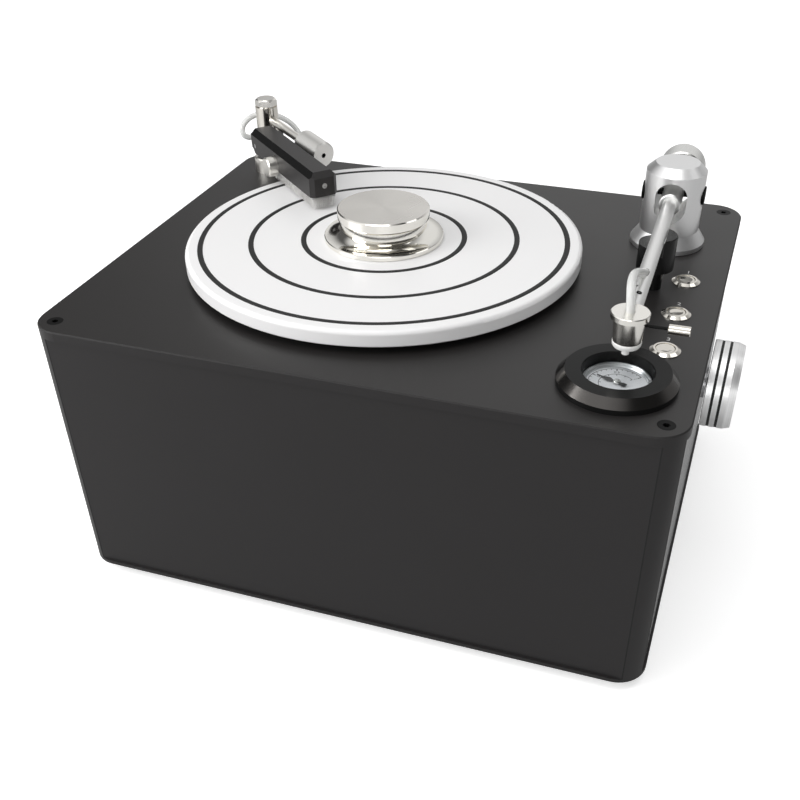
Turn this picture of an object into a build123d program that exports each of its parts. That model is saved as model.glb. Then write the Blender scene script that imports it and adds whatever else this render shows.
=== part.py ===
from build123d import *

import math
import os

# Record cleaning machine: a flat black case with a driven platter on its deck, a suction arm on the
# right, a brush arm at the rear left, a vacuum gauge, three push buttons and a side knob.
# Millimetres, +Z up, the front faces -Y. The origin is under the middle of the whole machine, on the
# surface that its feet stand on. Deck places are given from the middle of the case, and heights named
# dz or ending in _Z on the deck are above the top face of the deck.

# ---------------------------------------------------------------- clearances
RUN = 0.05              # radial running clearance of a turning fit
FIT = 0.1               # radial clearance of a hole round a fixed piece
STEP = 0.1              # axial gap under a piece that turns on another

# ---------------------------------------------------------------- case
CASE_W = 440.0
CASE_D = 356.0
CASE_H = 204.7          # without the feet
CORNER_R = 22.0
FOOT_H = 9.0
FOOT_R = 16.0
FOOT_INSET = 42.0       # foot centre from the case's edges
BASE_T = 3.0
DECK_T = 7.0
DECK_BEVEL = 0.8
WALL_T = 4.0
SEAM_IN = 13.5          # seam between panel and corner post, from the case's edge
SEAM_GAP = 0.3
POST_LEG = 30.0         # length of a corner post's two legs
POST_WALL = 6.0
POST_CORE = 23.0        # side of the solid core that takes the screws
SCREW_X = CASE_W / 2 - 14.5
SCREW_Y = CASE_D / 2 - 15.0
SCREW_HEAD_R = 5.5
SCREW_SHANK_R = 2.5
SCREW_LONG = 22.0
SOCKET_ACROSS = 4.0
KNOB_REACH = 22.0       # how far the side knob stands out past the case

RECESS = CORNER_R - math.sqrt(CORNER_R ** 2 - (CORNER_R - SEAM_IN) ** 2)
CASE_X = -KNOB_REACH / 2
BASE_TOP = FOOT_H + BASE_T
DECK = FOOT_H + CASE_H
UNDER = DECK - DECK_T
PANEL_OUT_X = CASE_W / 2 - RECESS
PANEL_OUT_Y = CASE_D / 2 - RECESS
WALL_H = UNDER - BASE_TOP

# ---------------------------------------------------------------- platter and clamp
PLATTER_X = -27.0
PLATTER_Y = 0.0
PLATTER_R = 146.0
PLATTER_T = 11.4
PLATTER_GAP = 4.8
PLATTER_ROUND = 3.0
RING_RADII = (59.5, 98.1, 134.9)
RING_W = 4.0
RING_DEPTH = 3.0
RING_PROUD = 0.4
HUB_R = 45.0
HUB_T = 3.0
SHAFT_R = 8.0
PIN_R = 3.6
PIN_H = 18.0
BEARING_R = 18.0
BEARING_FLANGE_R = 32.0
BEARING_FLANGE_T = 5.0
BEARING_LONG = 56.0
COUPLING_R = 15.0
COUPLING_LONG = 26.0
MOTOR_SHAFT_R = 5.0
MOTOR_R = 31.0
MOTOR_LONG = 68.0
MOTOR_PLATE_T = 4.0
MOTOR_PLATE_W = 96.0
STANDOFF_R = 5.0
STANDOFF_AT = 40.0

PLATTER_TOP = PLATTER_GAP + PLATTER_T

CLAMP_RIM_R = 44.0
CLAMP_RIM_H = 3.6
CLAMP_NECK_R = 30.0
CLAMP_NECK_H = 7.0
CLAMP_LOW_R = 30.5
CLAMP_LOW_TOP = 8.5
CLAMP_MID_R = 32.0
CLAMP_MID_BOTTOM = 9.5
CLAMP_MID_TOP = 14.4
CLAMP_DISC_R = 33.8
CLAMP_DISC_BOTTOM = 15.4
CLAMP_H = 22.8
CLAMP_EDGE = 0.8

# ---------------------------------------------------------------- suction arm
PILLAR_X = CASE_W / 2 - 50.6
PILLAR_Y = CASE_D / 2 - 85.4
HEAD_X = CASE_W / 2 - 48.0
HEAD_Y = 59.0 - CASE_D / 2
ARM_LONG = math.hypot(HEAD_X - PILLAR_X, HEAD_Y - PILLAR_Y)
ARM_YAW = math.degrees(math.atan2(HEAD_X - PILLAR_X, PILLAR_Y - HEAD_Y))
ARM_Z = 38.3
FOOT_RIM_R = 27.8
FOOT_RIM_H = 3.5
SPINDLE_R = 12.0
SPINDLE_H = 20.0
FOOT_TUBE_R = 10.0
FOOT_TUBE_LONG = 20.0
FOOT_BORE_R = 5.0
FOOT_NUT_ACROSS = 32.0
FOOT_NUT_T = 6.0
PILLAR_R = 22.0
PILLAR_CONE_H = 12.0
PILLAR_SHOULDER = 55.5
PILLAR_TOP_R = 16.0
PILLAR_H = 61.0
WINDOW_W = 23.0
WINDOW_LOW = 22.5
WINDOW_HIGH = 52.0
PIVOT_PIN_R = 2.5
PIVOT_HEAD_R = 8.0
PIVOT_HEAD_T = 2.0
PIVOT_SINK = 1.0        # how deep the screw heads lie in their recesses
TUBE_R = 5.0
TUBE_BORE_R = 3.5
TUBE_SEAT = 4.0         # the tube's end stops this far from the head's axis
ARM_HUB_R = 7.75
ARM_HUB_HALF = 26.5
TAIL_END = 59.4
TAIL_JOIN = 12.0        # how far behind the pivot the hub is bored for the tube
WEIGHT_R = 17.4
WEIGHT_FROM = 36.4
WEIGHT_LONG = 21.0
WEIGHT_BEVEL = 1.0
HEAD_FLANGE_R = 11.75
HEAD_TOP = 45.0
HEAD_FLANGE_T = 3.5
HEAD_BODY_R = 10.0
HEAD_FOOT_R = 8.5
HEAD_LOW = 23.0
HEAD_BEVEL = 1.2
TIP_R = 2.35
TIP_BORE_R = 1.25
TIP_LOW = 17.2
TIP_SEAT = 2.0
LIFT_Z = 37.3
LIFT_ROD_R = 1.0
LIFT_ROD_FROM = 8.0
LIFT_GRIP_R = 3.0
LIFT_GRIP_FROM = 22.9
LIFT_GRIP_LONG = 13.0
TUBE_SCREW_AT = 172.6
TUBE_SCREW_R = 1.85
TUBE_SCREW_TILT = -37.0
SUCTION_HOSE_D = 5.5
HOSE_SEAT = 3.0
# (y, z) in the arm's upright plane, from the pivot, the first point inside the tube
SUCTION_HOSE_ROUTE = [(-146.0, 40.0), (-160.0, 46.5), (-176.0, 55.0), (-192.0, 61.0), (-204.5, 60.0)]

REST_AT = 81.0          # from the pillar's axis, along the arm
REST_HEAD_R = 13.0
REST_HEAD_LOW = 15.0
REST_STEM_R = 6.5
REST_SLOT_W = 11.0
REST_SLOT_DEPTH = 6.0   # slot floor under the tube's lowest line
REST_UNDER = 0.4        # the low prong's top under the tube
REST_OVER = 5.5         # the high prong's top over the tube's lowest line
REST_STUD_R = 2.5
REST_STUD_LONG = 12.0

# ---------------------------------------------------------------- brush arm
POST_X = 33.0 - CASE_W / 2
POST_Y = CASE_D / 2 - 33.8
BRUSH_YAW = -42.52
BRUSH_FOOT_R = 14.5
BRUSH_FOOT_H = 12.0
BRUSH_STUD_R = 6.0
BRUSH_STUD_TOP = 40.0
BRUSH_STUD_LOW = 20.0   # length below the deck's top face
BRUSH_NUT_ACROSS = 20.0
BRUSH_NUT_T = 5.0
COLUMN_R = 9.5
COLUMN_TOP = 54.0
CAP_NECK_R = 7.4
CAP_NECK_H = 0.7
CAP_R = 8.25
CAP_H = 5.6
CAP_BEVEL = 0.8
BLOCK_FROM = 24.5
BLOCK_LONG = 123.0
BLOCK_W = 22.8
BLOCK_SIDE = -14.0      # the block's centre line beside the post's axis
BLOCK_LOW = 26.8
BLOCK_H = 18.4
BLOCK_BEVEL = 4.2
BLOCK_FRONT_BEVEL = 3.2
BLOCK_HEEL = 6.0
LIFT_PIN_AT = 31.2
LIFT_PIN_Z = 33.0
LIFT_PIN_R = 2.0
TONGUE_T = 8.0
TONGUE_R = 5.0
TONGUE_OVER = 2.0       # the tongue's flat top above the pin
TONGUE_GAP = 0.3
SLOT_ROOM = 8.0         # the slot's roof above the pin
SLOT_END = 7.0          # the slot's end past the pin
COLLAR_R = 12.5
COLLAR_LOW = 14.0
COLLAR_TOP = 32.0
LINK_FROM = 4.0
LINK_TO = 20.0
LINK_LOW = 23.0
NIPPLE_X = -11.5
NIPPLE_Z = 26.0
NIPPLE_R = 3.0
NIPPLE_FROM = 6.0
NIPPLE_TO = 12.0
BRISTLE_FROM = 66.5
BRISTLE_INSET = 2.0
BRISTLE_LOW = 17.0
BRISTLE_BACK = 2.0
STRANDS_LONG = 40
STRANDS_WIDE = 10
STRAND_R = 0.8
BOSS_AT = 74.5
BOSS_R = 7.8
BOSS_T = 8.0
BOSS_Z = 29.8
BOSS_CORE_R = 3.0
BOSS_CORE_DEPTH = 6.0
NOSE_SCREW_R = 2.0
NOSE_SCREW_Z = 35.0
NOSE_SCREW_DEPTH = 6.0
LEVER_Z = 44.5
LEVER_END = (90.5, 11.5, 36.5)
LEVER_ROD_R = 3.4
LEVER_SEAT = 5.0
GRIP_R = 10.3
GRIP_LONG = 30.0
GRIP_BEVEL = 1.0
GRIP_SOCKET = 3.6
FLUID_HOSE_D = 4.5
GROMMET_X = 15.0
GROMMET_Y = 23.5
GROMMET_R = 5.5
GROMMET_H = 1.8
GROMMET_NECK_R = 4.0
# points of the free hose beside the post, in the brush arm's own axes
FLUID_HOSE_ROUTE = [
    (NIPPLE_X, -20.0, NIPPLE_Z), (-15.0, -23.0, 35.0), (-18.5, -15.5, 44.0), (-20.0, -4.0, 47.5),
    (-19.5, 9.0, 45.5), (-14.0, 20.0, 41.0), (-4.0, 27.0, 35.0), (6.0, 29.0, 27.5), (12.5, 27.0, 18.5),
    (GROMMET_X, GROMMET_Y, 8.5)]

# ---------------------------------------------------------------- gauge, buttons, knob
GAUGE_X = CASE_W / 2 - 50.0
GAUGE_Y = 52.5 - CASE_D / 2
BEZEL_R = 37.5
BEZEL_TOP_R = 32.5
BEZEL_SIDE = 3.5
BEZEL_H = 9.0
BEZEL_BORE_R = 22.0
GAUGE_CAN_R = 24.8
GAUGE_CAN_BORE = 21.0
GAUGE_CAN_DEPTH = 28.0
GAUGE_LIP_R = 27.0
GAUGE_LIP_T = 2.5
DIAL_T = 0.8
DIAL_TOP = -0.6
GLASS_T = 2.0
MOVEMENT_R = 17.0
NEEDLE_ANGLE = 157.0
NEEDLE_LONG = 14.5
NEEDLE_TAIL = 6.0
NEEDLE_W = 1.6
NEEDLE_T = 0.5
NEEDLE_LIFT = 0.8
NEEDLE_BOSS_R = 2.4
NEEDLE_BOSS_H = 1.6
ARBOR_R = 0.75
ARBOR_LONG = 6.0

BUTTON_X = CASE_W / 2 - 27.5
BUTTON_Y = {"power_button": 27.0, "dry_button": -25.0, "clean_button": -77.0}
BUTTON_BEZEL_R = 10.0
BUTTON_BEZEL_H = 2.0
BUTTON_BARREL_R = 8.0
BUTTON_BARREL_LONG = 24.0
BUTTON_R = 6.4
BUTTON_PROUD = 1.7
BUTTON_DISH = 0.6
BUTTON_T = 5.0
BUTTON_WELL = 8.5       # depth of the barrel's bore under the bezel's top
BUTTON_STEM_R = 2.0
BUTTON_STEM_LONG = 6.0
BUTTON_NUT_ACROSS = 20.0
BUTTON_NUT_T = 4.0

KNOB_Y = -30.0
KNOB_Z = -45.0
KNOB_R = 30.0
KNOB_GAP = 1.5          # from the case's side to the knob's back
KNOB_BEVEL = 5.0
KNOB_BEVEL_IN = 1.6
KNOB_GROOVES = (7.0, 12.4)
KNOB_GROOVE_W = 1.8
KNOB_GROOVE_DEPTH = 1.6
KNOB_SHAFT_R = 3.0
KNOB_SHAFT_IN = 30.0
BUSH_R = 6.0
BUSH_FLANGE_R = 11.0
BUSH_FLANGE_T = 2.6
VALVE_R = 15.0
VALVE_LONG = 34.0

# ---------------------------------------------------------------- inside the case
PUMP_AT = (80.0 - CASE_W / 2, CASE_D / 2 - 86.0)
PUMP_BOX = (100.0, 74.0, 70.0)
PUMP_MOUNT_R = 8.0
PUMP_MOUNT_H = 10.0
PUMP_HEAD_R = 22.0
PUMP_HEAD_H = 26.0
PUMP_PORT_R = 4.0
PUMP_PORT_H = 8.0
WASTE_AT = (CASE_W / 2 - 92.0, 90.0 - CASE_D / 2)
WASTE_R = 46.0
WASTE_H = CASE_H - 86.7
FLUID_AT = (CASE_W / 2 - 92.0, CASE_D / 2 - 118.0)
FLUID_R = 42.0
FLUID_H = CASE_H - 94.7
BOTTLE_SHOULDER = 16.0
BOTTLE_NECK_R = 16.0
BOTTLE_NECK_H = 12.0
BOTTLE_ROUND = 6.0
BOTTLE_CAP_R = 19.0
BOTTLE_CAP_H = 10.0
DOSER_AT = (40.0, CASE_D / 2 - 50.0)
DOSER_BOX = (44.0, 34.0, 34.0)
DOSER_HEAD_R = 14.0
DOSER_HEAD_H = 12.0
BOARD_AT = (80.0 - CASE_W / 2, -70.0)
BOARD_BOX = (110.0, 90.0, 2.0)
BOARD_PILLAR_R = 3.0
BOARD_PILLAR_H = 10.0
CORE_AT = (-26.0, 60.0 - CASE_D / 2)
CORE_R = 40.0
CORE_BORE_R = 12.0
CORE_H = 36.0
CORE_ROUND = 8.0
INLET_X = 60.0 - CASE_W / 2
INLET_Z = 45.0
INLET_BODY = (27.4, 20.0)
INLET_FLANGE = (34.0, 27.0)
INLET_FLANGE_T = 1.5
INLET_DEPTH = 26.0
INLET_WELL = (24.4, 16.6, 15.0)
LINE_D = 8.0


# ---------------------------------------------------------------- helpers
BOTTOM = (Align.CENTER, Align.CENTER, Align.MIN)


def on_floor(x, y, z=0.0):
    return Pos(CASE_X + x, y, z)


def on_deck(x, y, dz=0.0):
    return Pos(CASE_X + x, y, DECK + dz)


def rod(radius, low, high):
    return Pos(0, 0, low) * Cylinder(radius, high - low, align=BOTTOM)


def tube(radius, bore, low, high):
    return rod(radius, low, high) - rod(bore, low, high)


def rod_x(radius, start, end, z=0.0):
    return Pos(0, 0, z) * Rot(0, 90, 0) * rod(radius, start, end)


def rod_y(radius, start, end, x=0.0, z=0.0):
    return Pos(x, 0, z) * Rot(-90, 0, 0) * rod(radius, start, end)


def block(x0, x1, y0, y1, z0, z1):
    centre = Pos((x0 + x1) / 2, (y0 + y1) / 2, z0)
    return centre * Box(x1 - x0, y1 - y0, z1 - z0, align=BOTTOM)


def turned(points):
    profile = Plane.XZ * make_face(Polyline(*points, close=True))
    return revolve(profile, Axis.Z)


def hexagon(across, low, high):
    flat = RegularPolygon(across / 2, 6, major_radius=False)
    return extrude(Pos(0, 0, low) * flat, high - low)


def corners(x, y):
    return [(sx * x, sy * y) for sx in (-1, 1) for sy in (-1, 1)]


def bend_radii(points):
    """The widest arc that each corner of a hose's route has room for."""
    radii = []
    for before, here, after in zip(points, points[1:], points[2:]):
        run_in = Vector(*here) - Vector(*before)
        run_out = Vector(*after) - Vector(*here)
        half_turn = math.radians(run_in.get_angle(run_out)) / 2
        radii.append(0.45 * min(run_in.length, run_out.length) / math.tan(half_turn))
    return radii


def hose(name, points, diameter):
    radii = bend_radii(points)
    path = FilletPolyline(*points, radius=radii)
    start = Plane(origin=path @ 0, z_dir=path % 0)
    solid = sweep(start * Circle(diameter / 2), path=path)
    true_volume = math.pi * diameter ** 2 / 4 * path.length
    print(f"{name}: length {path.length:.1f}, least radius {min(radii):.1f},",
          f"volume is {solid.volume / true_volume:.4f} of section times length")
    return solid


# ---------------------------------------------------------------- frames of the two arms
ARM = on_deck(PILLAR_X, PILLAR_Y) * Rot(0, 0, ARM_YAW)
BRUSH = on_deck(POST_X, POST_Y) * Rot(0, 0, BRUSH_YAW)
GROMMET = BRUSH * Pos(GROMMET_X, GROMMET_Y, 0)


# ---------------------------------------------------------------- case
def footprint():
    return Pos(CASE_X, 0, 0) * RectangleRounded(CASE_W, CASE_D, CORNER_R)


def screw_seat():
    """Countersink for a flat head at z = 0."""
    sink = SCREW_HEAD_R - SCREW_SHANK_R
    return turned([(0, 0), (SCREW_HEAD_R + FIT, 0), (SCREW_SHANK_R + FIT, -sink), (0, -sink)])


def base_plate():
    plate = extrude(Pos(0, 0, FOOT_H) * footprint(), BASE_T)
    seat = screw_seat() + rod(SCREW_SHANK_R + FIT, -BASE_T, 0)
    for x, y in corners(SCREW_X, SCREW_Y):
        plate -= on_floor(x, y, FOOT_H) * Rot(180, 0, 0) * seat
    return plate


def rubber_feet():
    foot = turned([(0, 0), (FOOT_R - 3, 0), (FOOT_R - 1, 1), (FOOT_R, FOOT_H), (0, FOOT_H)])
    return [on_floor(x, y) * foot for x, y in corners(CASE_W / 2 - FOOT_INSET, CASE_D / 2 - FOOT_INSET)]


def post_section():
    """Cross-section of the corner post at +X +Y, from the middle of the case."""
    edge_x = CASE_W / 2
    edge_y = CASE_D / 2
    leg = POST_LEG
    shape = RectangleRounded(CASE_W, CASE_D, CORNER_R)
    shape &= Pos(edge_x - leg / 2, edge_y - leg / 2) * Rectangle(leg, leg)
    rebate = RECESS + WALL_T
    shape -= Pos(edge_x - SEAM_IN - leg / 2, edge_y - rebate / 2) * Rectangle(leg, rebate)
    shape -= Pos(edge_x - rebate / 2, edge_y - SEAM_IN - leg / 2) * Rectangle(rebate, leg)
    inner = rebate + POST_WALL
    shape -= Pos(edge_x - POST_CORE - leg / 2, edge_y - inner - leg / 2) * Rectangle(leg, leg)
    shape -= Pos(edge_x - inner - leg / 2, edge_y - POST_CORE - leg / 2) * Rectangle(leg, leg)
    return shape


def corner_posts():
    post = extrude(post_section(), WALL_H)
    post -= Pos(SCREW_X, SCREW_Y, 0) * rod(SCREW_SHANK_R + FIT, 0, WALL_H)
    right = post.mirror(Plane.XZ)
    posts = [post, right, post.mirror(Plane.YZ), right.mirror(Plane.YZ)]
    return [Pos(CASE_X, 0, BASE_TOP) * piece for piece in posts]


def long_panel():
    """Front or rear panel, standing at the origin with its outer face to -Y."""
    width = CASE_W - 2 * SEAM_IN - 2 * SEAM_GAP
    return Box(width, WALL_T, WALL_H, align=(Align.CENTER, Align.MIN, Align.MIN))


def side_panel():
    """Left or right panel, standing at the origin with its outer face to +X."""
    width = CASE_D - 2 * SEAM_IN - 2 * SEAM_GAP
    return Box(WALL_T, width, WALL_H, align=(Align.MAX, Align.CENTER, Align.MIN))


def front_panel():
    return on_floor(0, -PANEL_OUT_Y, BASE_TOP) * long_panel()


def rear_panel():
    panel = on_floor(0, PANEL_OUT_Y, BASE_TOP) * Rot(0, 0, 180) * long_panel()
    wide, high = INLET_BODY
    hole = on_floor(INLET_X, PANEL_OUT_Y - WALL_T / 2, INLET_Z)
    return panel - hole * Box(wide + 2 * FIT, 2 * WALL_T, high + 2 * FIT)


def left_panel():
    return on_floor(-PANEL_OUT_X, 0, BASE_TOP) * Rot(0, 0, 180) * side_panel()


def right_panel():
    panel = on_floor(PANEL_OUT_X, 0, BASE_TOP) * side_panel()
    hole = on_deck(PANEL_OUT_X, KNOB_Y, KNOB_Z) * rod_x(BUSH_R + FIT, -2 * WALL_T, WALL_T)
    return panel - hole


def top_plate():
    plate = extrude(Pos(0, 0, UNDER) * footprint(), DECK_T)
    plate = chamfer(plate.edges().group_by(Axis.Z)[-1], DECK_BEVEL)
    holes = [
        (PLATTER_X, PLATTER_Y, BEARING_R + FIT), (GAUGE_X, GAUGE_Y, GAUGE_CAN_R + FIT),
        (PILLAR_X, PILLAR_Y, FOOT_TUBE_R + FIT), (POST_X, POST_Y, BRUSH_STUD_R + FIT)]
    holes += [(BUTTON_X, y, BUTTON_BARREL_R + FIT) for y in BUTTON_Y.values()]
    holes += [(x, y, SCREW_SHANK_R + FIT) for x, y in corners(SCREW_X, SCREW_Y)]
    for x, y, radius in holes:
        plate -= on_deck(x, y, -DECK_T) * rod(radius, 0, DECK_T)
    plate -= GROMMET * rod(GROMMET_NECK_R + FIT, -DECK_T, 0)
    plate -= ARM * Pos(0, -REST_AT, 0) * rod(REST_STUD_R + FIT, -DECK_T, 0)
    for x, y in corners(SCREW_X, SCREW_Y):
        plate -= on_deck(x, y) * screw_seat()
    return plate


def countersunk_screw():
    """A screw with its flat head at z = 0, pointing down."""
    sink = SCREW_HEAD_R - SCREW_SHANK_R
    screw = turned([(0, 0), (SCREW_HEAD_R, 0), (SCREW_SHANK_R, -sink), (SCREW_SHANK_R, -SCREW_LONG),
                    (0, -SCREW_LONG)])
    return screw - hexagon(SOCKET_ACROSS, -sink, 0)


def case_screws():
    """Four screws down through the deck and four up through the base plate, into the corner posts."""
    screw = countersunk_screw()
    places = corners(SCREW_X, SCREW_Y)
    upper = [on_deck(x, y) * screw for x, y in places]
    return upper + [on_floor(x, y, FOOT_H) * Rot(180, 0, 0) * screw for x, y in places]


# ---------------------------------------------------------------- platter and its drive
DRIVE = on_deck(PLATTER_X, PLATTER_Y)
BEARING_TOP = PLATTER_GAP - HUB_T - STEP
BEARING_LOW = BEARING_TOP - BEARING_LONG
COUPLING_TOP = BEARING_LOW - 3.0
COUPLING_LOW = COUPLING_TOP - COUPLING_LONG
MOTOR_TOP = COUPLING_LOW - 4.0


def platter_bearing():
    body = tube(BEARING_R, SHAFT_R + RUN, BEARING_LOW, BEARING_TOP)
    flange_low = -DECK_T - BEARING_FLANGE_T
    body += tube(BEARING_FLANGE_R, BEARING_R - 1, flange_low, -DECK_T)
    return DRIVE * body


def platter_spindle():
    """Shaft, hub flange and record pin, turned in one piece."""
    hub_low = PLATTER_GAP - HUB_T
    shaft_end = COUPLING_TOP - COUPLING_LONG / 2
    shaft = rod(SHAFT_R, shaft_end, PLATTER_GAP) + rod(HUB_R, hub_low, PLATTER_GAP)
    pin_top = PLATTER_TOP + PIN_H
    pin = turned([(0, PLATTER_GAP), (PIN_R, PLATTER_GAP), (PIN_R, pin_top - 2), (PIN_R - 1.5, pin_top),
                  (0, pin_top)])
    return DRIVE * (shaft + pin)


def motor_coupling():
    """The motor's shaft with the coupling that grips the platter's shaft."""
    middle = COUPLING_TOP - COUPLING_LONG / 2
    body = rod(COUPLING_R, COUPLING_LOW, COUPLING_TOP)
    body -= rod(SHAFT_R, middle, COUPLING_TOP)
    return DRIVE * (body + rod(MOTOR_SHAFT_R, MOTOR_TOP - 20, COUPLING_LOW))


def platter_motor():
    gearbox = rod(MOTOR_R, MOTOR_TOP - 30, MOTOR_TOP)
    can = rod(MOTOR_R - 4, MOTOR_TOP - MOTOR_LONG, MOTOR_TOP - 30)
    boss = rod(MOTOR_SHAFT_R + 5, MOTOR_TOP, MOTOR_TOP + 3)
    shaft_room = rod(MOTOR_SHAFT_R + RUN, MOTOR_TOP - 20 - STEP, MOTOR_TOP + 3)
    return DRIVE * (gearbox + can + boss - shaft_room)


def motor_bracket():
    plate = Pos(0, 0, MOTOR_TOP - MOTOR_PLATE_T) * Box(
        MOTOR_PLATE_W, MOTOR_PLATE_W, MOTOR_PLATE_T, align=BOTTOM)
    plate -= rod(MOTOR_R, MOTOR_TOP - MOTOR_PLATE_T, MOTOR_TOP)
    for x, y in corners(STANDOFF_AT, STANDOFF_AT):
        plate += Pos(x, y, 0) * rod(STANDOFF_R, MOTOR_TOP, -DECK_T)
    return DRIVE * plate


def platter():
    disc = rod(PLATTER_R, PLATTER_GAP, PLATTER_TOP)
    rims = disc.edges().filter_by(GeomType.CIRCLE).sort_by(Axis.Z)
    disc = fillet(rims[-1], PLATTER_ROUND)
    disc = chamfer(disc.edges().filter_by(GeomType.CIRCLE).sort_by(Axis.Z)[0], 1.0)
    disc -= rod(PIN_R, PLATTER_GAP, PLATTER_TOP)
    for radius in RING_RADII:
        disc -= tube(radius + RING_W / 2, radius - RING_W / 2, PLATTER_TOP - RING_DEPTH, PLATTER_TOP)
    return DRIVE * disc


def platter_rings():
    rings = []
    low = PLATTER_TOP - RING_DEPTH
    high = PLATTER_TOP + RING_PROUD
    for radius in RING_RADII:
        inner = radius - RING_W / 2
        outer = radius + RING_W / 2
        rings.append(DRIVE * turned([(inner, low), (outer, low), (outer, PLATTER_TOP), (outer - 1, high),
                                     (inner + 1, high), (inner, PLATTER_TOP)]))
    return rings


def record_clamp():
    rim_top = (CLAMP_RIM_R - 0.5, CLAMP_RIM_H)
    neck = (CLAMP_NECK_R, CLAMP_NECK_H)
    sag = (CLAMP_NECK_R + 3.6, CLAMP_RIM_H + 0.9)
    outline = [
        (PIN_R + FIT, 0), (CLAMP_RIM_R - 0.5, 0), (CLAMP_RIM_R, 0.5),
        (CLAMP_RIM_R, CLAMP_RIM_H - 0.5), rim_top]
    upper = [
        neck, (CLAMP_LOW_R, CLAMP_NECK_H), (CLAMP_LOW_R, CLAMP_LOW_TOP),
        (CLAMP_LOW_R - 1.5, CLAMP_LOW_TOP), (CLAMP_LOW_R - 1.5, CLAMP_MID_BOTTOM),
        (CLAMP_MID_R, CLAMP_MID_BOTTOM), (CLAMP_MID_R, CLAMP_MID_TOP),
        (CLAMP_MID_R - 1.5, CLAMP_MID_TOP), (CLAMP_MID_R - 1.5, CLAMP_DISC_BOTTOM),
        (CLAMP_DISC_R - CLAMP_EDGE, CLAMP_DISC_BOTTOM),
        (CLAMP_DISC_R, CLAMP_DISC_BOTTOM + CLAMP_EDGE), (CLAMP_DISC_R, CLAMP_H - CLAMP_EDGE),
        (CLAMP_DISC_R - CLAMP_EDGE, CLAMP_H), (0, CLAMP_H), (0, PIN_H + 1), (PIN_R + FIT, PIN_H + 1),
        (PIN_R + FIT, 0)]
    edges = Polyline(*outline) + ThreePointArc(rim_top, sag, neck) + Polyline(*upper)
    body = revolve(Plane.XZ * make_face(edges), Axis.Z)
    return DRIVE * Pos(0, 0, PLATTER_TOP) * body


# ---------------------------------------------------------------- suction arm
def arm_foot():
    profile = [
        (FOOT_BORE_R, -DECK_T - FOOT_TUBE_LONG), (FOOT_TUBE_R, -DECK_T - FOOT_TUBE_LONG),
        (FOOT_TUBE_R, 0), (FOOT_RIM_R - 0.5, 0), (FOOT_RIM_R, 0.5), (FOOT_RIM_R, FOOT_RIM_H),
        (SPINDLE_R, FOOT_RIM_H), (SPINDLE_R, SPINDLE_H), (FOOT_BORE_R, SPINDLE_H)]
    return on_deck(PILLAR_X, PILLAR_Y) * turned(profile)


def arm_pillar():
    low = FOOT_RIM_H + STEP
    bore = SPINDLE_R + RUN
    body = turned([
        (bore, low), (FOOT_RIM_R, low), (PILLAR_R, PILLAR_CONE_H), (PILLAR_R, PILLAR_SHOULDER),
        (PILLAR_TOP_R, PILLAR_H), (0, PILLAR_H), (0, SPINDLE_H + STEP), (bore, SPINDLE_H + STEP)])
    slot = Plane.XZ * Pos(0, (WINDOW_LOW + WINDOW_HIGH) / 2) * SlotOverall(
        WINDOW_HIGH - WINDOW_LOW, WINDOW_W, rotation=90)
    body -= extrude(slot, 2 * PILLAR_R, both=True)
    body -= rod_x(PIVOT_PIN_R, -PILLAR_R, PILLAR_R, ARM_Z)
    seat = PILLAR_R - PIVOT_HEAD_T - PIVOT_SINK
    for side in (0, 180):
        body -= Rot(0, 0, side) * rod_x(PIVOT_HEAD_R, seat, PILLAR_R + 1, ARM_Z)
    return ARM * body


def arm_pivot_screws():
    seat = PILLAR_R - PIVOT_HEAD_T - PIVOT_SINK
    screw = rod_x(PIVOT_PIN_R, TUBE_R + 0.3, seat, ARM_Z)
    screw += rod_x(PIVOT_HEAD_R, seat, seat + PIVOT_HEAD_T, ARM_Z)
    socket = Pos(seat + PIVOT_HEAD_T, 0, ARM_Z) * Rot(0, -90, 0) * hexagon(SOCKET_ACROSS, 0, 1.4)
    screw -= socket
    return [ARM * Rot(0, 0, side) * screw for side in (0, 180)]


def arm_hub():
    """Pivoted sleeve with the tail rod that carries the counterweight."""
    sleeve = rod_y(ARM_HUB_R, -ARM_HUB_HALF, ARM_HUB_HALF, z=ARM_Z)
    sleeve = chamfer(sleeve.edges().filter_by(GeomType.CIRCLE), 0.8)
    sleeve += rod_y(TUBE_R, ARM_HUB_HALF, TAIL_END, z=ARM_Z)
    sleeve -= rod_y(TUBE_R, -ARM_HUB_HALF, TAIL_JOIN, z=ARM_Z)
    sleeve -= rod_x(PIVOT_PIN_R + RUN, -ARM_HUB_R, ARM_HUB_R, ARM_Z)
    return ARM * sleeve


def suction_hose_points():
    points = [(0, y, z) for y, z in SUCTION_HOSE_ROUTE]
    return points + [(0, -ARM_LONG, 53.0), (0, -ARM_LONG, HEAD_TOP - HOSE_SEAT)]


SUCTION_HOSE = hose("suction_hose", suction_hose_points(), SUCTION_HOSE_D)


def suction_hose():
    inside_tube = rod_y(TUBE_BORE_R, -ARM_LONG, 0, z=ARM_Z)
    return ARM * (SUCTION_HOSE - inside_tube).solids().sort_by(Axis.Y)[0]


def tube_screw_place():
    return Pos(0, -TUBE_SCREW_AT, ARM_Z) * Rot(0, TUBE_SCREW_TILT, 0)


def suction_tube():
    body = rod_y(TUBE_R, -ARM_LONG + TUBE_SEAT, TAIL_JOIN, z=ARM_Z)
    body -= rod_y(TUBE_BORE_R, -ARM_LONG + 3 * TUBE_SEAT, TAIL_JOIN, z=ARM_Z)
    body -= SUCTION_HOSE
    body -= tube_screw_place() * rod(TUBE_SCREW_R, 0, TUBE_R + 1)
    return ARM * body


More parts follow.
